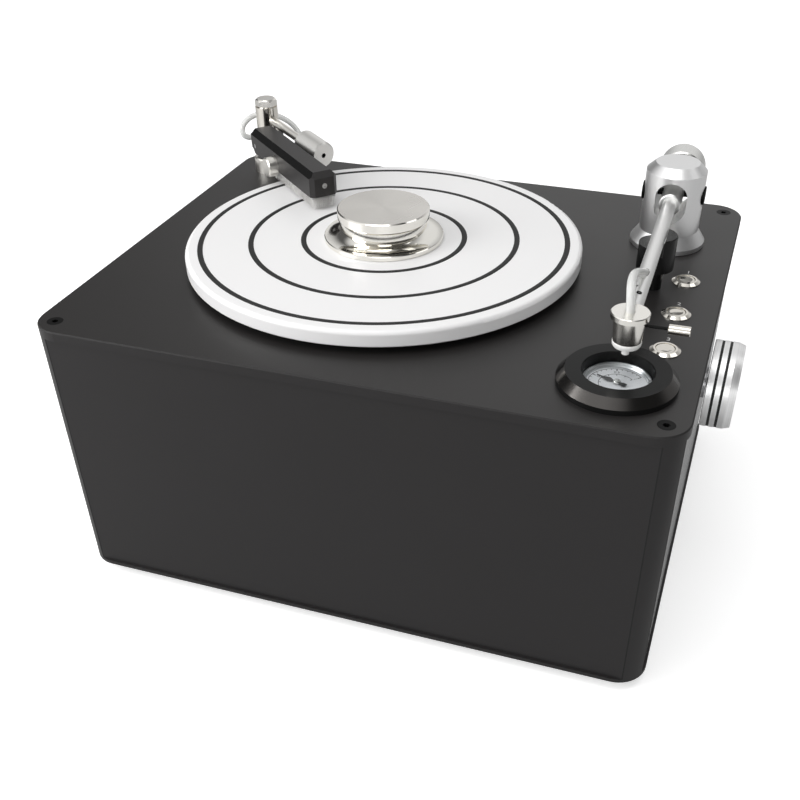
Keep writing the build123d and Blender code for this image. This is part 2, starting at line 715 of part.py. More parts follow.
def counterweight():
    end = WEIGHT_FROM + WEIGHT_LONG
    body = rod_y(WEIGHT_R, WEIGHT_FROM, end, z=ARM_Z)
    body = chamfer(body.edges().filter_by(GeomType.CIRCLE), WEIGHT_BEVEL)
    return ARM * (body - rod_y(TUBE_R, WEIGHT_FROM, end, z=ARM_Z))


HEAD = Pos(0, -ARM_LONG, 0)


def suction_head():
    edge = 0.5
    shoulder = HEAD_TOP - HEAD_FLANGE_T
    body = turned([
        (0, HEAD_TOP), (HEAD_FLANGE_R - edge, HEAD_TOP), (HEAD_FLANGE_R, HEAD_TOP - edge),
        (HEAD_FLANGE_R, shoulder), (HEAD_BODY_R, shoulder), (HEAD_FOOT_R, HEAD_LOW + HEAD_BEVEL),
        (HEAD_FOOT_R - HEAD_BEVEL, HEAD_LOW), (0, HEAD_LOW)])
    body -= rod(TIP_BORE_R, HEAD_LOW, HEAD_TOP)
    body -= rod(SUCTION_HOSE_D / 2, HEAD_TOP - HOSE_SEAT, HEAD_TOP)
    body -= rod(TIP_R, HEAD_LOW, HEAD_LOW + TIP_SEAT)
    body -= rod_x(LIFT_ROD_R, LIFT_ROD_FROM, HEAD_FLANGE_R, LIFT_Z)
    return ARM * (HEAD * body - rod_y(TUBE_R, -ARM_LONG + TUBE_SEAT, 0, z=ARM_Z))


def suction_tip():
    return ARM * HEAD * tube(TIP_R, TIP_BORE_R, TIP_LOW, HEAD_LOW + TIP_SEAT)


def finger_lift():
    end = LIFT_GRIP_FROM + LIFT_GRIP_LONG
    grip = rod_x(LIFT_GRIP_R, LIFT_GRIP_FROM, end, LIFT_Z)
    grip = chamfer(grip.edges().filter_by(GeomType.CIRCLE), 0.4)
    grip -= rod_x(LIFT_GRIP_R - 1, end - 1.5, end, LIFT_Z)
    return ARM * HEAD * (grip + rod_x(LIFT_ROD_R, LIFT_ROD_FROM, LIFT_GRIP_FROM, LIFT_Z))


def arm_rest():
    tube_low = ARM_Z - TUBE_R
    high_top = tube_low + REST_OVER
    low_top = tube_low - REST_UNDER
    floor = tube_low - REST_SLOT_DEPTH
    body = rod(REST_HEAD_R, REST_HEAD_LOW, high_top) + rod(REST_STEM_R, 0, REST_HEAD_LOW)
    body = chamfer(body.edges().filter_by(GeomType.CIRCLE).sort_by(Axis.Z)[-1], 0.6)
    half = REST_SLOT_W / 2
    reach = REST_HEAD_R + 1
    body -= block(-half, half, -reach, reach, floor, high_top)
    body -= block(-reach, half, -reach, reach, low_top, high_top)
    body += rod(REST_STUD_R, -REST_STUD_LONG, 0)
    return ARM * Pos(0, -REST_AT, 0) * body


# ---------------------------------------------------------------- brush arm
def brush_foot():
    profile = [
        (0, -BRUSH_STUD_LOW), (BRUSH_STUD_R, -BRUSH_STUD_LOW), (BRUSH_STUD_R, 0), (BRUSH_FOOT_R, 0),
        (BRUSH_FOOT_R, BRUSH_FOOT_H - 1), (BRUSH_FOOT_R - 1, BRUSH_FOOT_H),
        (BRUSH_STUD_R, BRUSH_FOOT_H), (BRUSH_STUD_R, BRUSH_STUD_TOP), (0, BRUSH_STUD_TOP)]
    return on_deck(POST_X, POST_Y) * turned(profile)


def lever_plane():
    along = Vector(*LEVER_END) - Vector(0, 0, LEVER_Z)
    return Plane(origin=(0, 0, LEVER_Z), z_dir=along.normalized()), along.length


def brush_column():
    low = BRUSH_FOOT_H + STEP
    bore = BRUSH_STUD_R + RUN
    body = turned([(bore, low), (COLUMN_R, low), (COLUMN_R, COLUMN_TOP), (0, COLUMN_TOP),
                   (0, BRUSH_STUD_TOP + STEP), (bore, BRUSH_STUD_TOP + STEP)])
    plane, _ = lever_plane()
    return BRUSH * (body - plane.location * rod(LEVER_ROD_R, COLUMN_R - LEVER_SEAT, 2 * COLUMN_R))


def column_cap():
    low = COLUMN_TOP + CAP_NECK_H
    high = low + CAP_H
    nut = hexagon(2 * CAP_R, low, high)
    rounding = turned([(0, low), (CAP_R + 1.5, low), (CAP_R + 1.5, high - 2), (CAP_R - CAP_BEVEL, high),
                       (0, high)])
    return BRUSH * ((nut & rounding) + rod(CAP_NECK_R, COLUMN_TOP, low))


def brush_bracket():
    """Collar on the column, a link to the block's slot and a lug with the hose nipple."""
    body = rod(COLLAR_R, COLLAR_LOW, COLLAR_TOP)
    half = TONGUE_T / 2
    side = BLOCK_SIDE
    top = LIFT_PIN_Z + TONGUE_OVER
    body += block(LINK_FROM, LINK_TO, side - half, side + 2 * half, LINK_LOW, top)
    body += block(LINK_TO - 1, LIFT_PIN_AT, side - half, side + half, LIFT_PIN_Z - TONGUE_R, top)
    body += Pos(LIFT_PIN_AT, 0, 0) * rod_y(TONGUE_R, side - half, side + half, z=LIFT_PIN_Z)
    lug = NIPPLE_R + 1
    body += block(NIPPLE_X - lug, 0, -NIPPLE_FROM, NIPPLE_FROM, NIPPLE_Z - lug, NIPPLE_Z + lug)
    body += rod_y(NIPPLE_R, -NIPPLE_TO, -NIPPLE_FROM, x=NIPPLE_X, z=NIPPLE_Z)
    body -= rod(COLUMN_R, COLLAR_LOW, top)
    pin_hole = rod_y(LIFT_PIN_R + RUN, side - half, side + half, z=LIFT_PIN_Z)
    return BRUSH * (body - Pos(LIFT_PIN_AT, 0, 0) * pin_hole)


def lever_handle():
    """Rod and round grip that the brush arm is swung with."""
    plane, reach = lever_plane()
    start = reach - GRIP_LONG
    grip = rod(GRIP_R, start, reach)
    grip = chamfer(grip.edges().filter_by(GeomType.CIRCLE), GRIP_BEVEL)
    grip -= hexagon(GRIP_SOCKET, reach - 6, reach)
    return BRUSH * plane.location * (grip + rod(LEVER_ROD_R, COLUMN_R - LEVER_SEAT, start))


def brush_block():
    side = BLOCK_SIDE
    half = BLOCK_W / 2
    end = BLOCK_FROM + BLOCK_LONG
    top = BLOCK_LOW + BLOCK_H
    body = block(BLOCK_FROM, end, side - half, side + half, BLOCK_LOW, top)
    long_tops = body.edges().filter_by(Axis.X).group_by(Axis.Z)[-1]
    front_top = body.edges().filter_by(Axis.Y).group_by(Axis.Z)[-1].sort_by(Axis.X)[-1:]
    body = chamfer(long_tops + front_top, BLOCK_BEVEL)
    body = chamfer(body.edges().filter_by(Axis.Z).group_by(Axis.X)[-1], BLOCK_FRONT_BEVEL)
    heel = body.edges().filter_by(Axis.Y).group_by(Axis.Z)[0].sort_by(Axis.X)[0]
    body = chamfer(heel, BLOCK_HEEL)
    room = TONGUE_T / 2 + TONGUE_GAP
    body -= block(BLOCK_FROM - 1, LIFT_PIN_AT + SLOT_END, side - room, side + room, BLOCK_LOW,
                  LIFT_PIN_Z + SLOT_ROOM)
    body -= Pos(LIFT_PIN_AT, 0, 0) * rod_y(LIFT_PIN_R, side - half, side + half, z=LIFT_PIN_Z)
    body -= rod_x(NOSE_SCREW_R, end - NOSE_SCREW_DEPTH, end, NOSE_SCREW_Z).moved(Pos(0, side, 0))
    face = side - half
    body -= Pos(BOSS_AT, 0, 0) * rod_y(BOSS_CORE_R, face, face + BOSS_CORE_DEPTH, z=BOSS_Z + 1)
    return BRUSH * body


def block_screws():
    """The pivot screw across the block's heel and the small screw in its nose."""
    half = BLOCK_W / 2 - 0.2
    pin = rod_y(LIFT_PIN_R, BLOCK_SIDE - half, BLOCK_SIDE + half, z=LIFT_PIN_Z)
    end = BLOCK_FROM + BLOCK_LONG
    screw = rod_x(NOSE_SCREW_R, end - NOSE_SCREW_DEPTH, end + 0.2, NOSE_SCREW_Z)
    screw -= Pos(end + 0.2, 0, NOSE_SCREW_Z) * Rot(0, -90, 0) * hexagon(1.8, 0, 1.2)
    return [BRUSH * Pos(LIFT_PIN_AT, 0, 0) * pin, BRUSH * Pos(0, BLOCK_SIDE, 0) * screw]


def brush_thumb_screw():
    """Knurled boss that clamps the bristle strip, on the block's left side."""
    face = BLOCK_SIDE - BLOCK_W / 2
    head = rod_y(BOSS_R, face - BOSS_T, face, z=BOSS_Z)
    head = chamfer(head.edges().filter_by(GeomType.CIRCLE).sort_by(Axis.Y)[0], 1.0)
    core = rod_y(BOSS_CORE_R, face, face + BOSS_CORE_DEPTH, z=BOSS_Z + 1)
    return BRUSH * Pos(BOSS_AT, 0, 0) * (head + core)


def brush_bristles():
    """A strip of backing with rows of three-sided strands."""
    end = BLOCK_FROM + BLOCK_LONG
    half = BLOCK_W / 2 - BRISTLE_INSET
    long = end - BRISTLE_FROM - BRISTLE_INSET
    back_low = BLOCK_LOW - BRISTLE_BACK
    start = BRISTLE_FROM
    backing = block(start, start + long, BLOCK_SIDE - half, BLOCK_SIDE + half, back_low, BLOCK_LOW)
    strand = extrude(Pos(0, 0, BRISTLE_LOW) * RegularPolygon(STRAND_R, 3), back_low - BRISTLE_LOW)
    pitch_x = long / STRANDS_LONG
    pitch_y = 2 * half / STRANDS_WIDE
    middle = Pos(start + long / 2, BLOCK_SIDE, 0)
    grid = GridLocations(pitch_x, pitch_y, STRANDS_LONG, STRANDS_WIDE)
    strands = [middle * place * strand for place in grid]
    return BRUSH * backing.fuse(*strands)


def fluid_hose():
    start = [(NIPPLE_X, -NIPPLE_TO, NIPPLE_Z)]
    end = [(GROMMET_X, GROMMET_Y, -DECK_T)]
    return BRUSH * hose("fluid_hose", start + FLUID_HOSE_ROUTE + end, FLUID_HOSE_D)


def hose_grommet():
    bore = FLUID_HOSE_D / 2
    return GROMMET * turned([
        (bore, -DECK_T), (GROMMET_NECK_R, -DECK_T), (GROMMET_NECK_R, 0), (GROMMET_R, 0),
        (GROMMET_R, GROMMET_H - 0.6), (GROMMET_R - 0.8, GROMMET_H), (bore, GROMMET_H)])


# ---------------------------------------------------------------- gauge
GAUGE = on_deck(GAUGE_X, GAUGE_Y)


def gauge_bezel():
    lip_r = GAUGE_LIP_R + FIT
    return GAUGE * turned([
        (lip_r, 0), (BEZEL_R, 0), (BEZEL_R, BEZEL_SIDE), (BEZEL_TOP_R, BEZEL_H),
        (BEZEL_BORE_R + 0.6, BEZEL_H), (BEZEL_BORE_R, BEZEL_H - 0.6), (BEZEL_BORE_R, GAUGE_LIP_T),
        (lip_r, GAUGE_LIP_T)])


def gauge_can():
    """Case of the gauge with its movement, which carries the dial and the needle's arbor."""
    low = -GAUGE_CAN_DEPTH
    floor = low + 2
    top = DIAL_TOP - DIAL_T
    can = turned([
        (0, low), (GAUGE_CAN_R, low), (GAUGE_CAN_R, 0), (GAUGE_LIP_R, 0), (GAUGE_LIP_R, GAUGE_LIP_T),
        (GAUGE_CAN_BORE, GAUGE_LIP_T), (GAUGE_CAN_BORE, floor), (0, floor)])
    can += rod(MOVEMENT_R, floor, top - 4) + rod(MOVEMENT_R - 4, top - 4, top)
    return GAUGE * (can - rod(ARBOR_R + RUN, DIAL_TOP - ARBOR_LONG - STEP, top))


def gauge_dial():
    return GAUGE * tube(GAUGE_CAN_BORE - FIT, ARBOR_R + RUN, DIAL_TOP - DIAL_T, DIAL_TOP)


def gauge_glass():
    return GAUGE * rod(BEZEL_BORE_R - FIT, GAUGE_LIP_T, GAUGE_LIP_T + GLASS_T)


def gauge_needle():
    low = DIAL_TOP + NEEDLE_LIFT
    tail = -NEEDLE_TAIL
    outline = [(tail, -NEEDLE_W), (tail, NEEDLE_W), (0, NEEDLE_W / 2), (NEEDLE_LONG, 0.25),
               (NEEDLE_LONG, -0.25), (0, -NEEDLE_W / 2)]
    blade = extrude(Pos(0, 0, low) * make_face(Polyline(*outline, close=True)), NEEDLE_T)
    boss = rod(NEEDLE_BOSS_R, low, low + NEEDLE_BOSS_H)
    arbor = rod(ARBOR_R, DIAL_TOP - ARBOR_LONG, low)
    return GAUGE * Rot(0, 0, NEEDLE_ANGLE) * (blade + boss + arbor)


# ---------------------------------------------------------------- buttons
def button_places():
    return {name: on_deck(BUTTON_X, y) for name, y in BUTTON_Y.items()}


def button_bezels():
    top = BUTTON_BEZEL_H
    bore = BUTTON_R + FIT
    floor = top - BUTTON_WELL
    low = -BUTTON_BARREL_LONG
    switch = turned([
        (BUTTON_STEM_R + FIT, floor), (BUTTON_STEM_R + FIT, floor - BUTTON_STEM_LONG),
        (0, floor - BUTTON_STEM_LONG), (0, low), (BUTTON_BARREL_R, low), (BUTTON_BARREL_R, 0),
        (BUTTON_BEZEL_R, 0), (BUTTON_BEZEL_R, 0.6), (BUTTON_BEZEL_R - 2.2, top), (bore, top),
        (bore, floor)])
    return [place * switch for place in button_places().values()]


def push_button(place):
    top = BUTTON_PROUD
    cap = rod(BUTTON_R, top - BUTTON_T, top)
    cap = chamfer(cap.edges().filter_by(GeomType.CIRCLE).sort_by(Axis.Z)[-1], 0.5)
    dish_r = (BUTTON_R ** 2 + BUTTON_DISH ** 2) / (2 * BUTTON_DISH)
    cap -= Pos(0, 0, top - BUTTON_DISH / 2 + dish_r) * Sphere(dish_r)
    stem = rod(BUTTON_STEM_R, top - BUTTON_T - BUTTON_STEM_LONG + 1, top - BUTTON_T)
    return place * (cap + stem)


def deck_nuts():
    """The nuts under the deck that hold both arms' feet and the three switches."""
    def nut(across, bore, thick):
        return hexagon(across, -DECK_T - thick, -DECK_T) - rod(bore, -DECK_T - thick, -DECK_T)

    nuts = [on_deck(PILLAR_X, PILLAR_Y) * nut(FOOT_NUT_ACROSS, FOOT_TUBE_R, FOOT_NUT_T),
            on_deck(POST_X, POST_Y) * nut(BRUSH_NUT_ACROSS, BRUSH_STUD_R, BRUSH_NUT_T)]
    switch_nut = nut(BUTTON_NUT_ACROSS, BUTTON_BARREL_R, BUTTON_NUT_T)
    return nuts + [place * switch_nut for place in button_places().values()]


# ---------------------------------------------------------------- side knob and regulator
KNOB = on_deck(CASE_W / 2, KNOB_Y, KNOB_Z)


def side_knob():
    back = KNOB_GAP
    end = KNOB_REACH
    outline = [
        (0, back), (KNOB_R - 0.5, back), (KNOB_R, back + 0.5), (KNOB_R, end - KNOB_BEVEL),
        (KNOB_R - KNOB_BEVEL_IN, end), (0, end)]
    body = turned(outline)
    for start in KNOB_GROOVES:
        body -= tube(KNOB_R + 1, KNOB_R - KNOB_GROOVE_DEPTH, start - KNOB_GROOVE_W / 2,
                     start + KNOB_GROOVE_W / 2)
    body += rod(KNOB_SHAFT_R, -KNOB_SHAFT_IN, back)
    return KNOB * Rot(0, 90, 0) * body


def knob_rings():
    inner = KNOB_R - KNOB_GROOVE_DEPTH
    outer = KNOB_R - 0.3
    half = KNOB_GROOVE_W / 2
    return [KNOB * Rot(0, 90, 0) * tube(outer, inner, at - half, at + half) for at in KNOB_GROOVES]


def suction_valve():
    """Regulator behind the right panel, with its bush through the panel."""
    face = -RECESS
    front = face - WALL_T
    flange = face + BUSH_FLANGE_T
    body = rod(VALVE_R, front - VALVE_LONG, front)
    body += rod(BUSH_R, front, face) + rod(BUSH_FLANGE_R, face, flange)
    body -= rod(KNOB_SHAFT_R + RUN, -KNOB_SHAFT_IN - STEP, flange)
    port = Pos(0, 0, front - VALVE_LONG + 8) * rod_x(LINE_D / 2, VALVE_R - 3, VALVE_R + 8)
    return KNOB * Rot(0, 90, 0) * (body + port)


# ---------------------------------------------------------------- inside the case


def vacuum_pump():
    long, wide, high = PUMP_BOX
    body = Box(long, wide, high, align=BOTTOM)
    body = fillet(body.edges().filter_by(Axis.Z), 10)
    body = fillet(body.edges().group_by(Axis.Z)[-1], 4)
    for x, y in corners(long / 2 - 14, wide / 2 - 14):
        body += Pos(x, y, 0) * rod(PUMP_MOUNT_R, -PUMP_MOUNT_H, 0)
    for x in (-long / 4, long / 4):
        body += Pos(x, 0, 0) * rod(PUMP_HEAD_R, high, high + PUMP_HEAD_H)
        body += Pos(x, 0, 0) * rod(PUMP_PORT_R, high + PUMP_HEAD_H, high + PUMP_HEAD_H + PUMP_PORT_H)
    return on_floor(*PUMP_AT, BASE_TOP + PUMP_MOUNT_H) * body


def bottle(radius, height):
    """A filled bottle, closed by a cap with a hose spigot."""
    body = turned([(0, 0), (radius, 0), (radius, height - BOTTLE_SHOULDER), (BOTTLE_NECK_R, height),
                   (BOTTLE_NECK_R, height + BOTTLE_NECK_H), (0, height + BOTTLE_NECK_H)])
    body = fillet(body.edges().filter_by(GeomType.CIRCLE).sort_by(lambda e: -e.radius)[:2], BOTTLE_ROUND)
    cap = rod(BOTTLE_CAP_R, 0, BOTTLE_CAP_H + 3) + rod(LINE_D / 2 + 1, BOTTLE_CAP_H, BOTTLE_CAP_H + 8)
    return body + Pos(0, 0, height + BOTTLE_NECK_H - BOTTLE_CAP_H) * cap


def waste_bottle():
    return on_floor(*WASTE_AT, BASE_TOP) * bottle(WASTE_R, WASTE_H)


def fluid_bottle():
    return on_floor(*FLUID_AT, BASE_TOP) * bottle(FLUID_R, FLUID_H)


def cap_base(height):
    return BASE_TOP + height + BOTTLE_NECK_H - BOTTLE_CAP_H


def dosing_pump():
    long, wide, high = DOSER_BOX
    body = fillet(Box(long, wide, high, align=BOTTOM).edges().filter_by(Axis.Z), 4)
    body += rod(DOSER_HEAD_R, high, high + DOSER_HEAD_H)
    body += rod(LINE_D / 2, high + DOSER_HEAD_H, high + DOSER_HEAD_H + 6)
    return on_floor(*DOSER_AT, BASE_TOP) * body


def power_board():
    long, wide, thick = BOARD_BOX
    body = Pos(0, 0, BOARD_PILLAR_H) * Box(long, wide, thick, align=BOTTOM)
    top = BOARD_PILLAR_H + thick
    body += Pos(-30, 20, top) * Box(30, 24, 20, align=BOTTOM)
    body += Pos(20, 25, top) * Box(50, 6, 26, align=BOTTOM)
    for x in (-38, -20, -2):
        body += Pos(x, -22, 0) * rod(7, top, top + 22)
    for x, y in corners(long / 2 - 6, wide / 2 - 6):
        body += Pos(x, y, 0) * rod(BOARD_PILLAR_R, 0, BOARD_PILLAR_H)
    return on_floor(*BOARD_AT, BASE_TOP) * body


def power_transformer():
    ring = tube(CORE_R, CORE_BORE_R, 0, CORE_H)
    ring = fillet(ring.edges().filter_by(GeomType.CIRCLE).sort_by(lambda e: -e.radius)[:2], CORE_ROUND)
    bolt = rod(CORE_BORE_R, 0, CORE_H + 3)
    return on_floor(*CORE_AT, BASE_TOP) * (ring + bolt)


def mains_inlet():
    wide, high = INLET_BODY
    flange_w, flange_h = INLET_FLANGE
    well_w, well_h, well_depth = INLET_WELL
    back = (Align.CENTER, Align.MAX, Align.CENTER)
    front = (Align.CENTER, Align.MIN, Align.CENTER)
    body = Box(wide, INLET_DEPTH, high, align=back)
    body += Box(flange_w, INLET_FLANGE_T, flange_h, align=front)
    body -= Pos(0, INLET_FLANGE_T, 0) * Box(well_w, well_depth, well_h, align=back)
    for x, z in ((-7, -2), (0, 2), (7, -2)):
        body += Pos(x, INLET_FLANGE_T - well_depth, z) * Box(2, 10, 4, align=front)
    return on_floor(INLET_X, PANEL_OUT_Y, INLET_Z) * body


def waste_line():
    """Hose from under the suction arm's foot to the waste bottle's cap."""
    top = DECK - DECK_T - FOOT_TUBE_LONG
    x, y = WASTE_AT
    low = BASE_TOP + WASTE_H + BOTTLE_NECK_H + 8
    across = PILLAR_X - x
    along = PILLAR_Y - y
    points = [(PILLAR_X, PILLAR_Y, top), (PILLAR_X, PILLAR_Y, top - 12)]
    for part, drop in ((0.125, 18), (0.29, 19), (0.51, 18), (0.79, 16), (0.9, 17)):
        bulge = across * (1 - part ** 1.6)
        points.append((x + bulge, PILLAR_Y - along * part, top - drop))
    points += [(x, y, top - 22), (x, y, low)]
    return Pos(CASE_X, 0, 0) * hose("waste_line", points, LINE_D)


# ---------------------------------------------------------------- all the pieces
PIECES = {
    "base_plate": base_plate, "rubber_feet": rubber_feet, "corner_posts": corner_posts,
    "front_panel": front_panel, "rear_panel": rear_panel, "left_panel": left_panel,
    "right_panel": right_panel, "top_plate": top_plate, "case_screws": case_screws,
    "deck_nuts": deck_nuts,
    "platter_bearing": platter_bearing, "platter_spindle": platter_spindle,
    "motor_coupling": motor_coupling, "platter_motor": platter_motor, "motor_bracket": motor_bracket,
    "platter": platter, "platter_rings": platter_rings, "record_clamp": record_clamp,
    "arm_foot": arm_foot, "arm_pillar": arm_pillar, "arm_pivot_screws": arm_pivot_screws,
    "arm_hub": arm_hub, "suction_tube": suction_tube, "counterweight": counterweight,
    "suction_head": suction_head, "suction_tip": suction_tip, "finger_lift": finger_lift,
    "suction_hose": suction_hose, "arm_rest": arm_rest,
    "brush_foot": brush_foot, "brush_column": brush_column, "column_cap": column_cap,
    "brush_bracket": brush_bracket, "lever_handle": lever_handle, "brush_block": brush_block,
    "block_screws": block_screws, "brush_thumb_screw": brush_thumb_screw,
    "brush_bristles": brush_bristles, "fluid_hose": fluid_hose, "hose_grommet": hose_grommet,
    "gauge_bezel": gauge_bezel, "gauge_can": gauge_can, "gauge_dial": gauge_dial,
    "gauge_glass": gauge_glass, "gauge_needle": gauge_needle, "button_bezels": button_bezels,
    "side_knob": side_knob, "knob_rings": knob_rings, "suction_valve": suction_valve,
    "vacuum_pump": vacuum_pump, "waste_bottle": waste_bottle, "fluid_bottle": fluid_bottle,
    "dosing_pump": dosing_pump, "power_board": power_board, "power_transformer": power_transformer,
    "mains_inlet": mains_inlet, "waste_line": waste_line,
}


def write(name, made):
    solids = made if isinstance(made, list) else [made]
    loose = [solid for piece in solids for solid in piece.solids()]
    shape = loose[0] if len(loose) == 1 else Compound(children=loose)
    shape.label = name
    export_step(shape, f"parts/{name}.step")


def main():
    os.makedirs("parts", exist_ok=True)
    for name, make in PIECES.items():
        write(name, make())
    for name, place in button_places().items():
        write(name, push_button(place))


main()
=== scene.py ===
import math
import random

import bmesh
import bpy
from mathutils import Matrix, Vector


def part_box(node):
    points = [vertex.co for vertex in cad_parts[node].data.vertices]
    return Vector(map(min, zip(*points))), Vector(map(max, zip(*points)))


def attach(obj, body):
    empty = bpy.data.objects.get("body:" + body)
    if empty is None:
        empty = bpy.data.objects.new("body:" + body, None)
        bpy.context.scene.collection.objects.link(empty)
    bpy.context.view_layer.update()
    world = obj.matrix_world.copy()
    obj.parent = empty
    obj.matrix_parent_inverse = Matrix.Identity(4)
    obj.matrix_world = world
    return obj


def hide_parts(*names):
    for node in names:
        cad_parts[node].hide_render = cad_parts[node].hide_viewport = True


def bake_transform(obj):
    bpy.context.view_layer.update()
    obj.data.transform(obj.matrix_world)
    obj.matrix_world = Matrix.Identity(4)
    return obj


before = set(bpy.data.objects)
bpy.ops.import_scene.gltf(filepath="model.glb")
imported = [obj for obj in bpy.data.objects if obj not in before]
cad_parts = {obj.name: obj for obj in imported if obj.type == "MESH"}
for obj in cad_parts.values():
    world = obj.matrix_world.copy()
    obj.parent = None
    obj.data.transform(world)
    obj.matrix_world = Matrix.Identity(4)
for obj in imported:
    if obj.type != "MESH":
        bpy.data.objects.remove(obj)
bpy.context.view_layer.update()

# Record cleaning machine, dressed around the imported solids. Lengths are in millimetres until they are
# placed; every object in the scene is in metres, in the solids' own frame.

MM = 0.001

# ---------------------------------------------------------------- places on the deck
CASE_X = -11.0          # middle of the case; the places below are counted from it
DECK = 213.7            # height of the deck
PLATTER_AT = (-27.0, 0.0)
ARM_AT = (169.4, 92.6)
HEAD_AT = (172.0, -119.0)
POST_AT = (-187.0, 144.2)
GAUGE_AT = (170.0, -125.5)
BUTTONS_X = 192.5
BUTTONS_Y = (27.0, -25.0, -77.0)
ARM_YAW = math.atan2(HEAD_AT[0] - ARM_AT[0], ARM_AT[1] - HEAD_AT[1])
ARM_LONG = math.hypot(HEAD_AT[0] - ARM_AT[0], ARM_AT[1] - HEAD_AT[1])
BRUSH_YAW = math.radians(-42.52)


def turned_place(at, yaw=0.0):
    """Matrix from millimetres round a point of the deck to metres in the row frame."""
    move = Matrix.Translation(Vector((CASE_X + at[0], at[1], DECK)) * MM)
    return move @ Matrix.Rotation(yaw, 4, "Z") @ Matrix.Scale(MM, 4)


def upright_line(at):
    """Where the upright line through a point of the deck stands, in metres."""
    return ((CASE_X + at[0]) * MM, at[1] * MM, 0.0)


ARM = turned_place(ARM_AT, ARM_YAW)
BRUSH = turned_place(POST_AT, BRUSH_YAW)
GAUGE = turned_place(GAUGE_AT)
PLATTER_CENTRE = upright_line(PLATTER_AT)
PILLAR_CENTRE = upright_line(ARM_AT)


# ---------------------------------------------------------------- materials
class Value:
    """An output of a material's node; arithmetic on it adds Math nodes."""

    def __init__(self, finish, socket):
        self.finish = finish
        self.socket = socket

    def calc(self, operation, *values):
        return self.finish.add("Math", {"operation": operation}, *values)

    def __add__(self, other):
        return self.calc("ADD", self, other)

    def __radd__(self, other):
        return self.calc("ADD", other, self)

    def __rsub__(self, other):
        return self.calc("SUBTRACT", other, self)

    def __mul__(self, other):
        return self.calc("MULTIPLY", self, other)

    def __truediv__(self, other):
        return self.calc("DIVIDE", self, other)

    def __pow__(self, other):
        return self.calc("POWER", self, other)


class Finish:
    """One material: fixed sockets first, then what varies over the surface."""

    def __init__(self, name, color, roughness, **fixed):
        self.material = bpy.data.materials.new(name)
        self.material.use_nodes = True
        self.nodes = self.material.node_tree.nodes
        self.links = self.material.node_tree.links
        self.surface = self.nodes["Principled BSDF"]
        self.put("Base Color", color)
        self.put("Roughness", roughness)
        for socket, value in fixed.items():
            self.put(socket.replace("_", " "), value)

    def fill(self, socket, value):
        """Gives a socket a number, a colour, or the output of another node."""
        if isinstance(value, Value):
            self.links.new(value.socket, socket)
        elif socket.type == "RGBA":
            socket.default_value = (*value[:3], 1.0)
        else:
            socket.default_value = value

    def put(self, socket, value):
        self.fill(self.surface.inputs[socket], value)
        return self

    def add(self, kind, settings=None, *values, output=0, **named):
        """A new node with its settings and inputs; gives back one of its outputs."""
        node = self.nodes.new("ShaderNode" + kind)
        for key, setting in (settings or {}).items():
            setattr(node, key, setting)
        for index, value in enumerate(values):
            self.fill(node.inputs[index], value)
        for key, value in named.items():
            self.fill(node.inputs[key], value)
        return Value(self, node.outputs[output])

    def place(self, about=(0, 0, 0)):
        """Position on the piece in metres, counted from a point."""
        here = self.add("TexCoord", output="Object")
        return self.add("VectorMath", {"operation": "SUBTRACT"}, here, about)

    def axis(self, name, about=(0, 0, 0)):
        return self.add("SeparateXYZ", None, self.place(about), output=name)

    def radius(self, centre):
        """Distance in metres from the upright line through a point."""
        x, y = (self.axis(name, centre) for name in ("X", "Y"))
        return (x * x + y * y) ** 0.5

    def noise(self, scale, detail=2.0):
        return self.add("TexNoise", None, Vector=self.place(), Scale=scale, Detail=detail,
                        Roughness=0.55)

    def bands(self, along, pitch, detail=2.0):
        """Uneven bands a pitch in metres apart, along a measure of the place."""
        return self.add("TexNoise", {"noise_dimensions": "1D"}, W=along / pitch, Scale=1.0,
                        Detail=detail)

    def blend_colors(self, first, second, factor):
        node = self.nodes.new("ShaderNodeMix")
        node.data_type = "RGBA"
        for socket, value in zip((node.inputs[0], node.inputs[6], node.inputs[7]),
                                 (factor, first, second)):
            self.fill(socket, value)
        return Value(self, node.outputs[2])

    def bump(self, height, distance, strength=1.0):
        bumped = self.add("Bump", None, Height=height, Distance=distance, Strength=strength)
        return self.put("Normal", bumped)


def scaled(color, factor):
    return tuple(c * factor for c in color)


def varied(finish, color, spread, roughness, rough_spread, scale=14.0):
    """Slight changes of shade and gloss over the surface, as handling and making leave them."""
    clouds = finish.noise(scale, 3.0)
    grain = finish.noise(1600.0, 1.0)
    shade = clouds * 0.7 + grain * 0.3
    dark, light = scaled(color, 1 - spread), scaled(color, 1 + spread)
    finish.put("Base Color", finish.blend_colors(dark, light, shade))
    finish.put("Roughness", roughness - rough_spread / 2 + clouds * rough_spread)
    return grain


def anodised(name, color, roughness, shine=0.32, **fixed):
    """Bead-blasted aluminium under a dyed oxide: matt grain with a dull sheen."""
    finish = Finish(name, color, roughness, Specular_IOR_Level=shine, **fixed)
    grain = varied(finish, color, 0.10, roughness, 0.06)
    return finish.bump(grain, 0.00006, 0.5)


def turned_metal(name, color, roughness, centre, depth=0.000010, **fixed):
    """Metal from the lathe: fine rings round an upright line, of uneven depth."""
    finish = Finish(name, color, roughness, Metallic=1.0, **fixed)
    varied(finish, color, 0.04, roughness, 0.05)
    return finish.bump(finish.bands(finish.radius(centre), 0.0006), depth)


def satin_metal(name, color, roughness):
    finish = Finish(name, color, roughness, Metallic=1.0)
    grain = varied(finish, color, 0.05, roughness, 0.08)
    return finish.bump(grain, 0.00004, 0.4)


def polished_metal(name, color, roughness=0.07):
    finish = Finish(name, color, roughness, Metallic=1.0)
    clouds = finish.noise(40.0, 3.0)
    finish.put("Roughness", roughness - 0.02 + clouds * 0.06)
    finish.put("Base Color", finish.blend_colors(scaled(color, 0.96), scaled(color, 1.03), clouds))
    return finish.bump(finish.noise(220.0, 2.0), 0.00002, 0.6)


